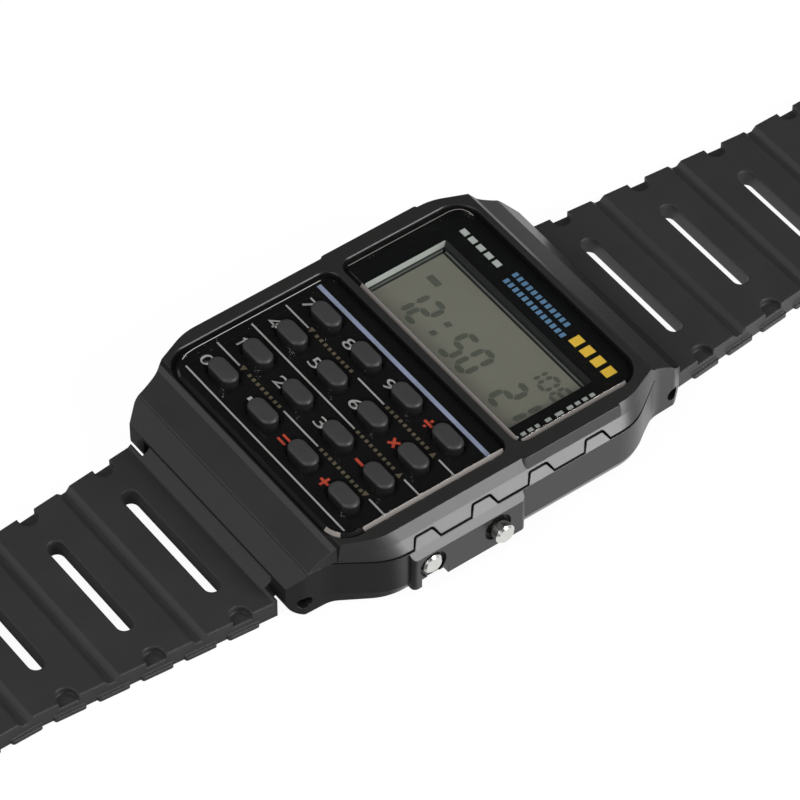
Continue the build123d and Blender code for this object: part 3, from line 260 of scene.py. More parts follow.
# Finish of every CAD node, by the start of its name
nodeFinishes = {
    "case_body": "caseAbs", "top_bezel": "frameAbs", "display_glass": "mineralGlass",
    "keypad_panel": "clearAcrylic", "keypad_membrane": "membraneSilicone", "key_": "keyAcetal",
    "case_back": "brushedSteel", "back_gasket": "sealRubber", "back_screws": "springSteel",
    "lcd_cell": "crystalCell", "zebra_strips": "sealRubber", "module_frame": "frameNylon",
    "module_screws": "springSteel", "circuit_board": "boardLaminate", "processor_chip": "chipEpoxy",
    "quartz_crystal": "turnedSteel", "trim_capacitor": "sheetBrass", "battery_clip": "brushedSteel",
    "battery": "turnedSteel", "insulator_sheet": "polyimideFilm", "buzzer_disc": "sheetBrass",
    "buzzer_spring": "springSteel", "switch_springs": "springSteel", "pusher_spring": "springSteel",
    "pusher_seal": "sealRubber", "pusher_clip": "springSteel", "pusher": "turnedSteel",
    "strap_keeper": "strapPolyurethane", "strap": "strapPolyurethane", "bar_": "springSteel",
    "buckle": "brushedSteel",
}


def finishOf(name):
    start = max((s for s in nodeFinishes if name.startswith(s)), key=len)
    return materials[nodeFinishes[start]]


for name, node in nodes.items():
    node.data.materials.clear()
    node.data.materials.append(finishOf(name))


# Moulded pieces: a copy of the CAD node whose edges are rounded as the tool leaves them

mergeDistance = 1e-6
rounding = {"flatDegrees": 1.0, "segments": 3, "fromDegrees": 25}
roundedEdges = {
    "strap_keeper": {"body": "strap_keeper", "roundMm": 0.3, "slot": "strap_resin"},
}
for name in nodes:
    if name.startswith("key_"):
        roundedEdges[name] = {"body": name, "roundMm": 0.24, "slot": "key_plastic"}


def mergedCopy(name, mesh, flatDegrees):
    # the CAD node's loose triangles joined into whole faces
    shape = bmesh.new()
    shape.from_mesh(nodes[name].data)
    bmesh.ops.remove_doubles(shape, verts=shape.verts, dist=mergeDistance)
    bmesh.ops.dissolve_limit(shape, angle_limit=math.radians(flatDegrees), verts=shape.verts,
                             edges=shape.edges)
    for face in shape.faces:
        face.smooth = True
    shape.to_mesh(mesh)
    shape.free()


def placePiece(name, mesh, node, body):
    piece = bpy.data.objects.new(name, mesh)
    bpy.context.scene.collection.objects.link(piece)
    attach(piece, body)
    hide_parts(node)


def roundedCopy(name, plan):
    mesh = nodes[name].data.copy()
    mergedCopy(name, mesh, rounding["flatDegrees"])
    rough = bpy.data.objects.new(name + "Rough", mesh)
    bpy.context.scene.collection.objects.link(rough)
    bevel = rough.modifiers.new("edges", "BEVEL")
    bevel.width = plan["roundMm"] * mm
    bevel.segments = rounding["segments"]
    bevel.limit_method = "ANGLE"
    bevel.angle_limit = math.radians(rounding["fromDegrees"])
    bevel.use_clamp_overlap = False
    bevel.harden_normals = True
    evaluated = rough.evaluated_get(bpy.context.evaluated_depsgraph_get())
    finished = bpy.data.meshes.new_from_object(evaluated)
    bpy.data.objects.remove(rough)
    placePiece(name + "Moulded", finished, name, plan["body"])


for name, plan in roundedEdges.items():
    roundedCopy(name, plan)
print("stage: rounded pieces")

# Clear pieces: a copy of the CAD node with flat faces and crisp bevels, so that each bevel shines evenly
polishing = {"flatDegrees": 0.5, "crispFromDegrees": 25,
             "slots": {"display_glass": "mineral_glass", "keypad_panel": "panel_plastic"}}


def polishedCopy(name):
    mesh = bpy.data.meshes.new(name + "Polished")
    mergedCopy(name, mesh, polishing["flatDegrees"])
    if "custom_normal" in mesh.attributes:
        mesh.attributes.remove(mesh.attributes["custom_normal"])
    mesh.set_sharp_from_angle(angle=math.radians(polishing["crispFromDegrees"]))
    mesh.materials.append(finishOf(name))
    placePiece(name + "Polished", mesh, name, "case")


for name, slot in polishing["slots"].items():
    polishedCopy(name)
print("stage: clear pieces")


# Printed marks: thin plates of ink, all on the case
mitreLimit = 0.5  # a corner's mitre grows to twice the half width at most
rawDepth = 0.05  # a character's depth before it is fitted to the ink's

def addPlate(shape, outline, low, high):
    # a flat prism over an outline in millimetres
    lower = [shape.verts.new((x * mm, y * mm, low * mm)) for x, y in outline]
    upper = [shape.verts.new((x * mm, y * mm, high * mm)) for x, y in outline]
    shape.faces.new(lower)
    shape.faces.new(upper)
    for k in range(len(outline)):
        shape.faces.new((lower[k - 1], lower[k], upper[k], upper[k - 1]))


def addBar(shape, x0, x1, y0, y1, low, high, lean=0.0):
    addPlate(shape, [(x0, y0), (x1, y0), (x1 + lean, y1), (x0 + lean, y1)], low, high)


def addStroke(shape, points, width, low, high):
    # a line of even width through points, its corners mitred
    left, right = [], []
    for k, point in enumerate(points):
        here = Vector(point)
        before = (here - Vector(points[k - 1])).normalized() if k else None
        after = (Vector(points[k + 1]) - here).normalized() if k + 1 < len(points) else None
        along = ((before or after) + (after or before)).normalized()
        side = Vector((-along.y, along.x))
        square = Vector((-(after or before).y, (after or before).x))
        reach = width / 2 / max(mitreLimit, side.dot(square))
        left.append(here + side * reach)
        right.append(here - side * reach)
    addPlate(shape, [(p.x, p.y) for p in left + right[::-1]], low, high)


def inkPiece(name, shape, ink):
    bmesh.ops.recalc_face_normals(shape, faces=shape.faces)
    mesh = bpy.data.meshes.new(name)
    shape.to_mesh(mesh)
    shape.free()
    mesh.materials.append(materials[ink])
    piece = bpy.data.objects.new(name, mesh)
    bpy.context.scene.collection.objects.link(piece)
    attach(piece, "case")
    return piece


def addCharacter(shape, text, x, y, width, height, low, high):
    # one character from the built-in font, made a mesh and then fitted to its place
    curve = bpy.data.curves.new("character", "FONT")
    curve.body = text
    curve.align_x = "CENTER"
    curve.extrude = rawDepth
    letter = bpy.data.objects.new("character", curve)
    bpy.context.scene.collection.objects.link(letter)
    evaluated = letter.evaluated_get(bpy.context.evaluated_depsgraph_get())
    mesh = bpy.data.meshes.new_from_object(evaluated)
    bpy.data.objects.remove(letter)
    xs, ys, zs = ([v.co[k] for v in mesh.vertices] for k in range(3))
    spanX, spanY, spanZ = (max(s) - min(s) for s in (xs, ys, zs))
    fit = Matrix.Diagonal((width / spanX, height / spanY, (high - low) / spanZ, 1))
    centre = Vector(((max(xs) + min(xs)) / 2, (max(ys) + min(ys)) / 2, (max(zs) + min(zs)) / 2))
    place = Matrix.Translation(Vector((x, y, (low + high) / 2)))
    mesh.transform(Matrix.Scale(mm, 4) @ place @ fit @ Matrix.Translation(-centre))
    shape.from_mesh(mesh)
    bpy.data.meshes.remove(mesh)


# Ink on the key plate, seen through the clear panel
keyPrint = {"low": 7.101, "high": 7.113, "digitWidth": 1.15, "digitHeight": 1.18,
            "digitShift": (-2.48, -0.04), "strokeWidth": 0.2, "pointSize": (0.36, 0.46),
            "pointShift": (0.0, 0.4), "signSpan": 1.1, "signWidth": 0.28, "signShift": -0.32,
            "crossShare": 0.75, "crossCut": 0.71, "dotReach": 0.42, "equalsReach": 0.29, "equalsShare": 0.85}
signKeys = ("key_plus", "key_minus", "key_times", "key_divide", "key_equals")
digitKeys = {"key_%d" % n: str(n) for n in range(10)}
# digits drawn as strokes in a box one wide and one high round their centre
strokeDigits = {"1": [[(-0.16, 0.26), (0.08, 0.44), (0.08, -0.5)]],
                "4": [[(0.5, -0.24), (-0.44, -0.24), (0.2, 0.44), (0.2, -0.5)]]}


def keyCentre(name):
    low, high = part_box(name)
    return (low[0] + high[0]) / 2 / mm, (low[1] + high[1]) / 2 / mm


def printDigits():
    p = keyPrint
    shape = bmesh.new()
    for name, text in digitKeys.items():
        x, y = keyCentre(name)
        x, y = x + p["digitShift"][0], y + p["digitShift"][1]
        if text in strokeDigits:
            for line in strokeDigits[text]:
                addStroke(shape, [(x + u * p["digitWidth"], y + v * p["digitHeight"]) for u, v in line],
                          p["strokeWidth"], p["low"], p["high"])
            continue
        addCharacter(shape, text, x, y, p["digitWidth"], p["digitHeight"], p["low"], p["high"])
    x, y = keyCentre("key_point")
    x, y = x + p["digitShift"][0] + p["pointShift"][0], y + p["digitShift"][1] + p["pointShift"][1]
    w, h = p["pointSize"]
    addBar(shape, x - w / 2, x + w / 2, y - h / 2, y + h / 2, p["low"], p["high"])
    inkPiece("keyDigits", shape, "whiteInkAndHighlight")


def printSigns():
    p = keyPrint
    low, high, half, thick = p["low"], p["high"], p["signSpan"] / 2, p["signWidth"]
    shape = bmesh.new()
    spots = {}
    for name in signKeys:
        x, y = keyCentre(name)
        spots[name] = (x + p["digitShift"][0] + p["signShift"], y + p["digitShift"][1])
    for name in ("key_plus", "key_minus", "key_divide"):
        x, y = spots[name]
        addStroke(shape, [(x - half, y), (x + half, y)], thick, low, high)
    x, y = spots["key_plus"]
    for side in (-1, 1):
        addStroke(shape, [(x, y + side * thick / 2), (x, y + side * half)], thick, low, high)
    x, y = spots["key_divide"]
    for side in (-1, 1):
        dotY = y + side * p["dotReach"]
        addBar(shape, x - thick / 2, x + thick / 2, dotY - thick / 2, dotY + thick / 2, low, high)
    x, y = spots["key_times"]
    cross = half * p["crossShare"]
    near = thick / 2 * p["crossCut"]
    addStroke(shape, [(x - cross, y - cross), (x + cross, y + cross)], thick, low, high)
    for side in (-1, 1):
        addStroke(shape, [(x - side * near, y + side * near), (x - side * cross, y + side * cross)],
                  thick, low, high)
    x, y = spots["key_equals"]
    for side in (-1, 1):
        lineY = y + side * p["equalsReach"]
        addStroke(shape, [(x - half, lineY), (x + half, lineY)], thick * p["equalsShare"], low, high)
    inkPiece("keySigns", shape, "orangeInk")


printDigits()
printSigns()

# White rules between the rows of keys, and the border; each row lists its runs from -x to +x
ruleLines = {"width": 0.17, "rows": {-11.44: [(-12.63, -9.18), (-2.53, 2.57), (10.07, 12.9)],
                                     -7.69: [(-12.63, 2.82), (10.07, 12.9)],
                                     -3.94: [(-12.63, -9.2), (-1.78, 2.07), (10.07, 12.9)]},
             "lowBorder": [(-11.98, -15.26), (11.67, -15.26)]}
stripeLine = {"width": 0.45, "points": [(-12.83, -0.19), (12.9, -0.19)]}
# painted highlight: the panel's polished edge, drawn as a fine bright line on the side away from the buttons
panelEdgeHighlight = {"width": 0.06, "low": 7.8505, "high": 7.856,
            "points": [(-12.66, -0.1), (-12.66, -13.9), (-12.56, -14.75), (-12.22, -15.45)]}
labelTriangles = {"size": 0.62, "places": {(-8.73, -11.44): -1, (9.37, -11.44): -1, (9.42, -7.69): 1,
                                           (-8.83, -3.94): -1, (9.3, -3.94): 1}}
# rows of short cream dashes between the rows of keys
labelDashes = {"length": 0.34, "gap": 0.30, "height": 0.34, "ink": "creamInk", "rows": [
    (-7.85, -2.95, -11.44), (2.9, 8.7, -11.44), (3.15, 8.7, -7.69), (-8.1, -2.4, -3.94),
    (2.4, 8.7, -3.94)]}


def printRules():
    shape = bmesh.new()
    low, high = keyPrint["low"], keyPrint["high"]
    for y, runs in ruleLines["rows"].items():
        for x0, x1 in runs:
            addStroke(shape, [(x0, y), (x1, y)], ruleLines["width"], low, high)
    addStroke(shape, ruleLines["lowBorder"], ruleLines["width"], low, high)
    # the painted highlight along the panel's edge, in the white of the rules
    addStroke(shape, panelEdgeHighlight["points"], panelEdgeHighlight["width"], panelEdgeHighlight["low"], panelEdgeHighlight["high"])
    inkPiece("panelRulesAndEdgeHighlight", shape, "whiteInkAndHighlight")
    shape = bmesh.new()
    addStroke(shape, stripeLine["points"], stripeLine["width"], low, high)
    inkPiece("panelStripe", shape, "lilacInk")


def printTriangles():
    shape = bmesh.new()
    half = labelTriangles["size"] / 2
    for (x, y), up in labelTriangles["places"].items():
        addPlate(shape, [(x - half, y - up * half), (x + half, y - up * half), (x, y + up * half)],
                 keyPrint["low"], keyPrint["high"])
    inkPiece("labelTriangles", shape, "creamInk")


def dashTree():
    # Geometry Nodes: a row of flat dashes with a count, a pitch and the dash's own size
    tree = bpy.data.node_groups.new("dashRow", "GeometryNodeTree")
    face = tree.interface
    face.new_socket("Count", in_out="INPUT", socket_type="NodeSocketInt")
    for name in ("Pitch", "Length", "Height", "Thickness"):
        face.new_socket(name, in_out="INPUT", socket_type="NodeSocketFloat")
    face.new_socket("Ink", in_out="INPUT", socket_type="NodeSocketMaterial")
    face.new_socket("Geometry", in_out="OUTPUT", socket_type="NodeSocketGeometry")
    given = addNode(tree, "NodeGroupInput").outputs
    size = addNode(tree, "ShaderNodeCombineXYZ", links={
        0: given["Length"], 1: given["Height"], 2: given["Thickness"]})
    step = addNode(tree, "ShaderNodeCombineXYZ", links={0: given["Pitch"]})
    row = addNode(tree, "GeometryNodeMeshLine", {"mode": "OFFSET"}, {
        "Count": given["Count"], "Offset": step.outputs[0]})
    dash = addNode(tree, "GeometryNodeMeshCube", links={"Size": size.outputs[0]})
    spread = addNode(tree, "GeometryNodeInstanceOnPoints", links={
        "Points": row.outputs[0], "Instance": dash.outputs[0]})
    real = addNode(tree, "GeometryNodeRealizeInstances", links={0: spread.outputs[0]})
    inked = addNode(tree, "GeometryNodeSetMaterial", links={
        "Geometry": real.outputs[0], "Material": given["Ink"]})
    addNode(tree, "NodeGroupOutput", links={"Geometry": inked.outputs[0]})
    return tree


def dashRow(tree, shape, plan, x0, x1, y, low, high):
    pitch = plan["length"] + plan["gap"]
    count = max(1, round((x1 - x0 + plan["gap"]) / pitch))
    values = {"Count": count, "Pitch": pitch * mm, "Length": plan["length"] * mm,
              "Height": plan["height"] * mm, "Thickness": (high - low) * mm, "Ink": materials[plan["ink"]]}
    carrier = bpy.data.objects.new("dashes", bpy.data.meshes.new("dashes"))
    bpy.context.scene.collection.objects.link(carrier)
    modifier = carrier.modifiers.new("row", "NODES")
    modifier.node_group = tree
    for item in tree.interface.items_tree:
        if item.in_out == "INPUT":
            modifier[item.identifier] = values[item.name]
    evaluated = carrier.evaluated_get(bpy.context.evaluated_depsgraph_get())
    mesh = bpy.data.meshes.new_from_object(evaluated)
    bpy.data.objects.remove(carrier)
    start = x0 + plan["length"] / 2
    mesh.transform(Matrix.Translation((start * mm, y * mm, (low + high) / 2 * mm)))
    shape.from_mesh(mesh)
    bpy.data.meshes.remove(mesh)


printRules()
printTriangles()
rowTree = dashTree()
dashShape = bmesh.new()
for x0, x1, y in labelDashes["rows"]:
    dashRow(rowTree, dashShape, labelDashes, x0, x1, y, keyPrint["low"], keyPrint["high"])
inkPiece("labelDashes", dashShape, labelDashes["ink"])
print("stage: keypad marks")

# Ink behind the display glass: rows of plain blocks, and a broken line of them at the side
glassPrint = {
    "low": 6.952, "high": 6.964,
    "rows": {
        "White": {"length": 0.86, "gap": 0.34, "height": 0.62, "ink": "whiteInkAndHighlight",
                  "rows": [(-10.8, -5.1, 14.3)]},
        "Blue": {"length": 0.44, "gap": 0.24, "height": 0.60, "ink": "blueInk",
                 "rows": [(-3.7, 4.4, 14.8), (-3.6, 4.8, 13.7)]},
        "Yellow": {"length": 1.0, "gap": 0.52, "height": 1.2, "ink": "yellowInk",
                   "rows": [(5.6, 10.6, 14.3)]},
    },
    "sideX": (11.75, 12.15),
    "sideY": [(3.6, 4.1), (4.4, 4.9), (5.2, 5.6), (6.3, 6.9), (7.4, 8.2), (8.7, 9.3), (9.6, 10.1),
              (10.4, 10.9), (11.2, 11.7)],
}


def printGlass():
    p = glassPrint
    for key, plan in p["rows"].items():
        shape = bmesh.new()
        for x0, x1, y in plan["rows"]:
            dashRow(rowTree, shape, plan, x0, x1, y, p["low"], p["high"])
        inkPiece("glassMarks" + key, shape, plan["ink"])
    shape = bmesh.new()
    for y0, y1 in p["sideY"]:
        addBar(shape, *p["sideX"], y0, y1, p["low"], p["high"])
    inkPiece("glassMarksSide", shape, "whiteInkAndHighlight")


printGlass()

# Liquid crystal digits: seven segments each, drawn with pointed ends
segmentPlan = {
    "low": 6.341, "high": 6.351, "gap": 0.06, "slant": 0.06,
    "height": 3.8, "width": 2.0, "stroke": 0.58, "baseY": 4.0,
    "digits": [("1", -8.35), ("2", -6.2), ("5", -1.25), ("0", 1.1), ("2", 6.0), ("1", 8.0)],
    "small": {"height": 2.1, "width": 1.5, "stroke": 0.4, "baseY": 8.5,
              "digits": [("1", 5.7), ("0", 7.4), ("6", 9.1)]},
    "colonX": -2.75, "colonY": (5.0, 6.65), "colonSize": 0.62,
    "dash": (-8.5, -7.0, 8.5, 9.2), "markLean": 0.1,
}
segmentsOf = {"0": "abcdef", "1": "bc", "2": "abged", "5": "afgcd", "6": "afgecd"}


def addSegment(shape, start, end, stroke, slantOf):
    a, b = Vector(start), Vector(end)
    along = (b - a).normalized()
    side = Vector((-along.y, along.x)) * stroke / 2
    tip = along * stroke / 2
    corners = [a, a + tip + side, b - tip + side, b, b - tip - side, a + tip - side]
    addPlate(shape, [slantOf(c) for c in corners], segmentPlan["low"], segmentPlan["high"])


def addDigit(shape, text, x, plan):
    s, w, h = plan["stroke"] / 2, plan["width"], plan["height"]
    left, right, low, mid, top = s, w - s, s, h / 2, h - s
    ends = {"a": ((left, top), (right, top)), "g": ((left, mid), (right, mid)),
            "d": ((left, low), (right, low)), "f": ((left, mid), (left, top)),
            "b": ((right, mid), (right, top)), "e": ((left, low), (left, mid)),
            "c": ((right, low), (right, mid))}
    gap = segmentPlan["gap"]
    for key in segmentsOf[text]:
        a, b = (Vector(p) for p in ends[key])
        pull = (b - a).normalized() * gap
        addSegment(shape, a + pull, b - pull, plan["stroke"],
                   lambda c: (x + c.x + c.y * segmentPlan["slant"], plan["baseY"] + c.y))


def printSegments():
    p = segmentPlan
    shape = bmesh.new()
    for text, x in p["digits"]:
        addDigit(shape, text, x, p)
    for text, x in p["small"]["digits"]:
        addDigit(shape, text, x, p["small"])
    half = p["colonSize"] / 2
    for y in p["colonY"]:
        addBar(shape, p["colonX"] - half, p["colonX"] + half, y - half, y + half, p["low"], p["high"],
               p["markLean"])
    addBar(shape, *p["dash"], p["low"], p["high"], p["markLean"])
    inkPiece("crystalDigits", shape, "crystalSegment")


printSegments()

# Sloping frame inside the display window: down from the window's edge to the cell; its side towards -x is pale,
# a painted reflection of the light, and the other sides are black
windowSlope = {"outer": (-10.7, 10.7, 3.2, 12.45), "inner": (-10.5, 10.6, 3.28, 12.1), "top": 6.93, "low": 6.36,
               "wall": 0.03}


def slopingFrame():
    p = windowSlope
    shape = bmesh.new()

    def ring(bounds, z, inset=0.0):
        x0, x1, y0, y1 = bounds[0] + inset, bounds[1] - inset, bounds[2] + inset, bounds[3] - inset
        corners = [(x0, y0), (x1, y0), (x1, y1), (x0, y1)]
        return [shape.verts.new((x * mm, y * mm, z * mm)) for x, y in corners]

    rings = [ring(p["outer"], p["top"], p["wall"]), ring(p["inner"], p["low"]),
             ring(p["outer"], p["low"], p["wall"])]
    for a, b in ((0, 1), (1, 2), (2, 0)):
        for k in range(4):
            shape.faces.new((rings[a][k - 1], rings[a][k], rings[b][k], rings[b][k - 1]))
    piece = inkPiece("windowSlope", shape, "spacerBlackAndShade")
    # painted reflection: the side towards -x takes the pale colour
    piece.data.materials.append(materials["spacerSlopeReflection"])
    for face in piece.data.polygons:
        if face.center.x < p["inner"][0] * mm:
            face.material_index = 1


slopingFrame()

# Painted shade and highlight on a step between that slope and the cell, on the two sides that the light comes
# over: dark bars of painted shade with a grey line of painted highlight
windowStepShadeAndHighlight = {
    "low": 6.341, "high": 6.35,
    "dark": [(-10.5, -10.32, 3.28, 12.1), (-10.12, -9.9, 3.28, 11.9),
             (-10.5, 10.6, 11.94, 12.1), (-10.12, 10.6, 11.5, 11.72)],
    "grey": [(-10.32, -10.12, 3.28, 11.94), (-10.32, 10.6, 11.72, 11.94)],
}


def stepFrame():
    p = windowStepShadeAndHighlight
    for key, finish in (("dark", "spacerBlackAndShade"), ("grey", "spacerStepHighlight")):
        shape = bmesh.new()
        for x0, x1, y0, y1 in p[key]:
            addBar(shape, x0, x1, y0, y1, p["low"], p["high"])
        inkPiece("windowStepShadeAndHighlight" + key.capitalize(), shape, finish)


stepFrame()

# Painted highlight and painted shade on the bevels of the glass and the panel: each strip starts and ends this
# far down the bevel, and lies this far above it
bevelSize = {"upper": 0.01, "lower": 0.32, "near": 0.004, "far": 0.008}
bevelCorner = {"centre": (10.8, -14.58), "radius": 2.4, "stepDegrees": -6}
bevelArcs = {
    "panelCornerBevel": {"from": -46, "to": -94},
    # painted shade: a dark strip where the panel's bevel turns the corner
    "panelTurnBevel": {"lead": [(13.2, -14.13)], "from": -3, "to": -46, "finish": "bevelShade"},
}
glassBevelPaint = {"top": 7.7, "cut": 0.4, "slot": "mineral_glass", "finish": "bevelHighlight"}
panelBevelPaint = {"top": 7.85, "cut": 0.45, "slot": "panel_plastic", "finish": "bevelHighlight"}
bevelStrips = {
    "glassLowBevel": glassBevelPaint | {"line": [(-10.3, 2.401), (12.6, 2.401)], "outward": [(0, -1)] * 2},
    "glassSideBevel": glassBevelPaint | {"line": [(13.2, 2.9), (13.2, 14.4)], "outward": [(1, 0)] * 2},
    "panelSideBevel": panelBevelPaint | {"line": [(13.2, -14.1), (13.2, 0.9)], "outward": [(1, 0)] * 2},
    # painted shade: a dark strip along the panel's bevel at the six end
    "panelLowBevel": panelBevelPaint | {"line": [(-10.8, -16.98), (10.8, -16.98)], "outward": [(0, -1)] * 2,
                                    "finish": "bevelShade"},
}


def cornerStrip(arc):
    # round the panel's corner, after a straight lead where there is one
    p = bevelCorner
    lead = arc.get("lead", [])
    turns = [(math.cos(math.radians(a)), math.sin(math.radians(a)))
             for a in range(arc["from"], arc["to"], p["stepDegrees"])]
    line = lead + [(p["centre"][0] + p["radius"] * x, p["centre"][1] + p["radius"] * y) for x, y in turns]
    return panelBevelPaint | arc | {"line": line, "outward": [(1, 0)] * len(lead) + turns}


def bevelStrip(name, plan):
    # two layers a hair above the bevel, closed all round, in the painted highlight or painted shade that the
    # plan names
    shape = bmesh.new()
    layers = []
    for lift in (bevelSize["near"], bevelSize["far"]):
        edges = []
        for depth in (bevelSize["upper"], bevelSize["lower"]):
            inset, z = plan["cut"] - depth - lift, plan["top"] - depth + lift
            edges.append([shape.verts.new(((x - inset * u) * mm, (y - inset * v) * mm, z * mm))
                          for (x, y), (u, v) in zip(plan["line"], plan["outward"])])
        layers.append(edges)
    for upper, lower in layers:
        for k in range(1, len(upper)):
            shape.faces.new((upper[k - 1], upper[k], lower[k], lower[k - 1]))
    rims = [edges[0] + edges[1][::-1] for edges in layers]
    for k in range(len(rims[0])):
        shape.faces.new((rims[0][k - 1], rims[0][k], rims[1][k], rims[1][k - 1]))
    inkPiece(name, shape, plan["finish"])


bevelStrips.update({name: cornerStrip(arc) for name, arc in bevelArcs.items()})
for name, plan in bevelStrips.items():
    bevelStrip(name, plan)

# Painted highlight along the glass's polished edge, a fine line on the side away from the buttons
glassEdgeHighlight = {"width": 0.07, "low": 7.7005, "high": 7.706, "points": [
    (-12.74, 3.0), (-12.74, 14.3), (-12.6, 14.9), (-12.25, 15.4), (-11.7, 15.68), (-11.0, 15.76)]}


def printGlassEdge():
    p = glassEdgeHighlight
    shape = bmesh.new()
    addStroke(shape, p["points"], p["width"], p["low"], p["high"])
    inkPiece("glassEdgeHighlight", shape, "bevelHighlight")


printGlassEdge()
print("stage: display")

# Camera, floor and light

cameraPlace = {"azimuth": 53.443, "elevation": 48.459, "distance": 449.68 * mm,
               "target": (0.279 * mm, -0.872 * mm, 4.0 * mm), "lens": 228.99, "sensor": 36,
               "nearest": 10 * mm}


def makeCamera(place):
    turn, lift = math.radians(place["azimuth"]), math.radians(place["elevation"])
    back = Vector((math.cos(lift) * math.sin(turn), -math.cos(lift) * math.cos(turn), math.sin(lift)))
    data = bpy.data.cameras.new("photoCamera")
    data.lens = place["lens"]
    data.sensor_width = place["sensor"]
    data.clip_start = place["nearest"]
    camera = bpy.data.objects.new("photoCamera", data)
    camera.location = Vector(place["target"]) + back * place["distance"]
    camera.rotation_euler = back.to_track_quat("Z", "Y").to_euler()
    bpy.context.scene.collection.objects.link(camera)
    bpy.context.scene.camera = camera


makeCamera(cameraPlace)

# Softboxes, each by its bearing from +x, its height in degrees, its distance, size and radiance
softboxes = {
    "buttonSideSoftbox": {"bearing": 26, "height": 21, "away": 0.6, "size": (0.20, 0.46),
                          "radiance": 15.0},
    "sixEndSoftbox": {"bearing": -86, "height": 38, "away": 0.6, "size": (0.30, 0.26),
                      "radiance": 7.0},
}


def makeLamps(places):
    for name, place in places.items():
        turn, lift = math.radians(place["bearing"]), math.radians(place["height"])
        towards = Vector((math.cos(lift) * math.cos(turn), math.cos(lift) * math.sin(turn), math.sin(lift)))
        data = bpy.data.lights.new(name, "AREA")
        data.shape = "RECTANGLE"
        data.size, data.size_y = place["size"]
        data.energy = place["radiance"] * math.pi * data.size * data.size_y
        lamp = bpy.data.objects.new(name, data)
        lamp.location = towards * place["away"]
        lamp.rotation_euler = towards.to_track_quat("Z", "Y").to_euler()
        bpy.context.scene.collection.objects.link(lamp)


makeLamps(softboxes)

studio = {
    # the even dome, from straight down to straight up
    "diffuseLow": 0.25, "diffuseHigh": 0.98,
    # what glossy faces see: walls up to fromHeight, the ceiling from toHeight, as the sine of the angle
    "horizon": 1.0, "overhead": 0.11, "fromHeight": 0.25, "toHeight": 0.45,
    # the unlit wall, as the cosine of the angle from darkTowards
    "darkWall": 0.12, "darkTowards": (-0.5, 0.866, 0.0), "darkFrom": 0.3, "darkTo": 0.7,
}
paper = {
    "half": 3.0, "drop": 0.1 * mm, "colour": "#f4f4f4", "roughness": 0.9, "glow": 0.94,
    # in reflections its glow is painted darker, as painted shade: along studio's darkTowards, and beside the
    # six end along y
    "fadeFrom": 45 * mm, "fadeTo": 75 * mm, "sixShade": 0.15, "sixFrom": -10.5 * mm, "sixTo": -13.0 * mm,
}


def seenDirectly(tree, path):
    # 1 for what the camera sees, straight or in gloss and clear pieces
    glossy = addNode(tree, "ShaderNodeMath", {"operation": "MAXIMUM"}, {
        0: path.outputs["Is Glossy Ray"], 1: path.outputs["Is Transmission Ray"]})
    return addNode(tree, "ShaderNodeMath", {"operation": "MAXIMUM"}, {
        0: path.outputs["Is Camera Ray"], 1: glossy.outputs[0]}).outputs[0]


def makeWorld():
    # white walls low down and a dim ceiling for reflections, an even dome for the light itself
    world = bpy.data.worlds.new("studio")
    bpy.context.scene.world = world
    world.use_nodes = True
    tree = world.node_tree
    tree.nodes.clear()
    path = addNode(tree, "ShaderNodeLightPath")
    towards = addNode(tree, "ShaderNodeTexCoord").outputs["Generated"]
    aim = addNode(tree, "ShaderNodeSeparateXYZ", links={0: towards})
    height = addNode(tree, "ShaderNodeMapRange", links={
        "Value": aim.outputs[2], "From Min": studio["fromHeight"], "From Max": studio["toHeight"],
        "To Min": studio["horizon"], "To Max": studio["overhead"]})
    # the wall behind the twelve end is unlit
    across = addNode(tree, "ShaderNodeVectorMath", {"operation": "DOT_PRODUCT"}, {
        0: towards, 1: studio["darkTowards"]})
    shade = addNode(tree, "ShaderNodeMapRange", links={
        "Value": across.outputs["Value"], "From Min": studio["darkFrom"], "From Max": studio["darkTo"],
        "To Min": 1.0, "To Max": studio["darkWall"]})
    wall = addNode(tree, "ShaderNodeMath", {"operation": "MULTIPLY"}, {
        0: height.outputs[0], 1: shade.outputs[0]})
    dome = addNode(tree, "ShaderNodeMapRange", links={
        "Value": aim.outputs[2], "To Min": studio["diffuseLow"], "To Max": studio["diffuseHigh"]})
    white = linear("#ffffff")
    light = addNode(tree, "ShaderNodeBackground", links={"Color": white, "Strength": dome.outputs[0]})
    seen = addNode(tree, "ShaderNodeBackground", links={"Color": white, "Strength": wall.outputs[0]})
    mix = addNode(tree, "ShaderNodeMixShader", links={
        0: seenDirectly(tree, path), 1: light.outputs[0], 2: seen.outputs[0]})
    addNode(tree, "ShaderNodeOutputWorld", links={"Surface": mix.outputs[0]})


makeWorld()


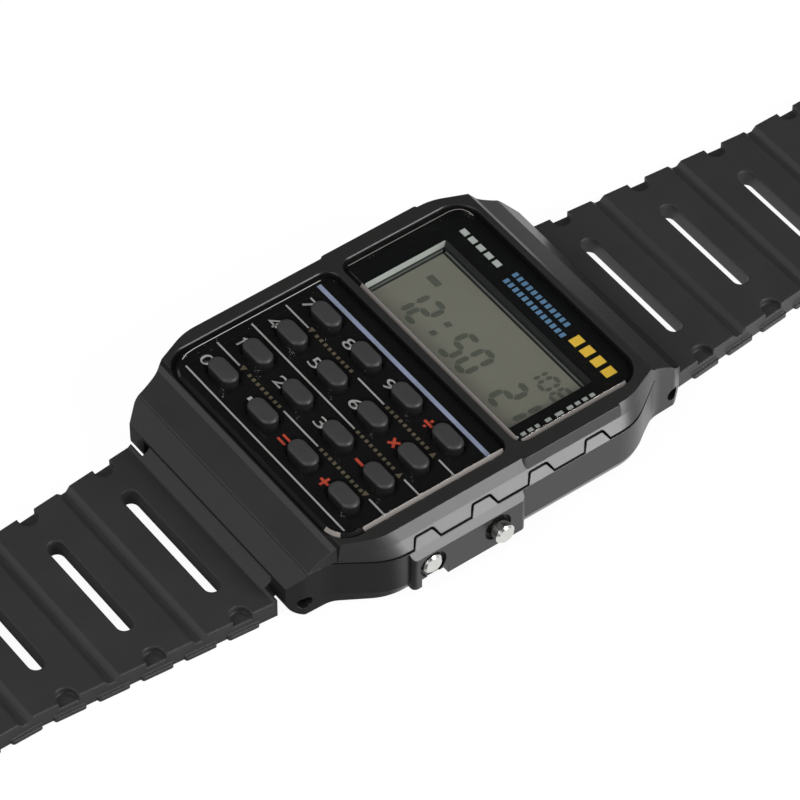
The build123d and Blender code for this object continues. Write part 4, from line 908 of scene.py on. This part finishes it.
def makeFloor():
    # white paper that glows a little to the eye and in reflections, and keeps a faint shadow
    mesh = bpy.data.meshes.new("floor")
    half = paper["half"]
    corners = [(-half, -half, 0), (half, -half, 0), (half, half, 0), (-half, half, 0)]
    mesh.from_pydata(corners, [], [(0, 1, 2, 3)])
    floor = bpy.data.objects.new("floor", mesh)
    floor.location.z = -paper["drop"]
    bpy.context.scene.collection.objects.link(floor)
    material, tree, shader, place, output = newMaterial("paper")
    setInputs(tree, shader, {"Base Color": linear(paper["colour"]), "Roughness": paper["roughness"]})
    path = addNode(tree, "ShaderNodeLightPath")
    share = addNode(tree, "ShaderNodeMath", {"operation": "MULTIPLY"}, {
        0: seenDirectly(tree, path), 1: paper["glow"]})
    # painted shade: far along darkTowards the paper's glow in reflections fades, as if that paper were unlit
    along = addNode(tree, "ShaderNodeVectorMath", {"operation": "DOT_PRODUCT"}, {
        0: place, 1: studio["darkTowards"]})
    fade = addNode(tree, "ShaderNodeMapRange", links={
        "Value": along.outputs["Value"], "From Min": paper["fadeFrom"], "From Max": paper["fadeTo"],
        "To Min": 1.0, "To Max": studio["darkWall"]})
    # painted shade: beside the six end the paper's glow in reflections is darkened, as if in the case's shadow
    axes = addNode(tree, "ShaderNodeSeparateXYZ", links={0: place})
    beside = addNode(tree, "ShaderNodeMapRange", links={
        "Value": axes.outputs[1], "From Min": paper["sixTo"], "From Max": paper["sixFrom"],
        "To Min": paper["sixShade"], "To Max": 1.0})
    mirrored = addNode(tree, "ShaderNodeMath", {"operation": "MULTIPLY"}, {
        0: fade.outputs[0], 1: beside.outputs[0]})
    strength = addNode(tree, "ShaderNodeMath", {"operation": "MAXIMUM"}, {
        0: mirrored.outputs[0], 1: path.outputs["Is Camera Ray"]})
    glow = addNode(tree, "ShaderNodeEmission", links={
        "Color": linear("#ffffff"), "Strength": strength.outputs[0]})
    mix = addNode(tree, "ShaderNodeMixShader", links={
        0: share.outputs[0], 1: shader.outputs[0], 2: glow.outputs[0]})
    tree.links.new(mix.outputs[0], output.inputs["Surface"])
    mesh.materials.append(material)


makeFloor()
bpy.context.scene.view_settings.view_transform = "Standard"
print("stage: studio")
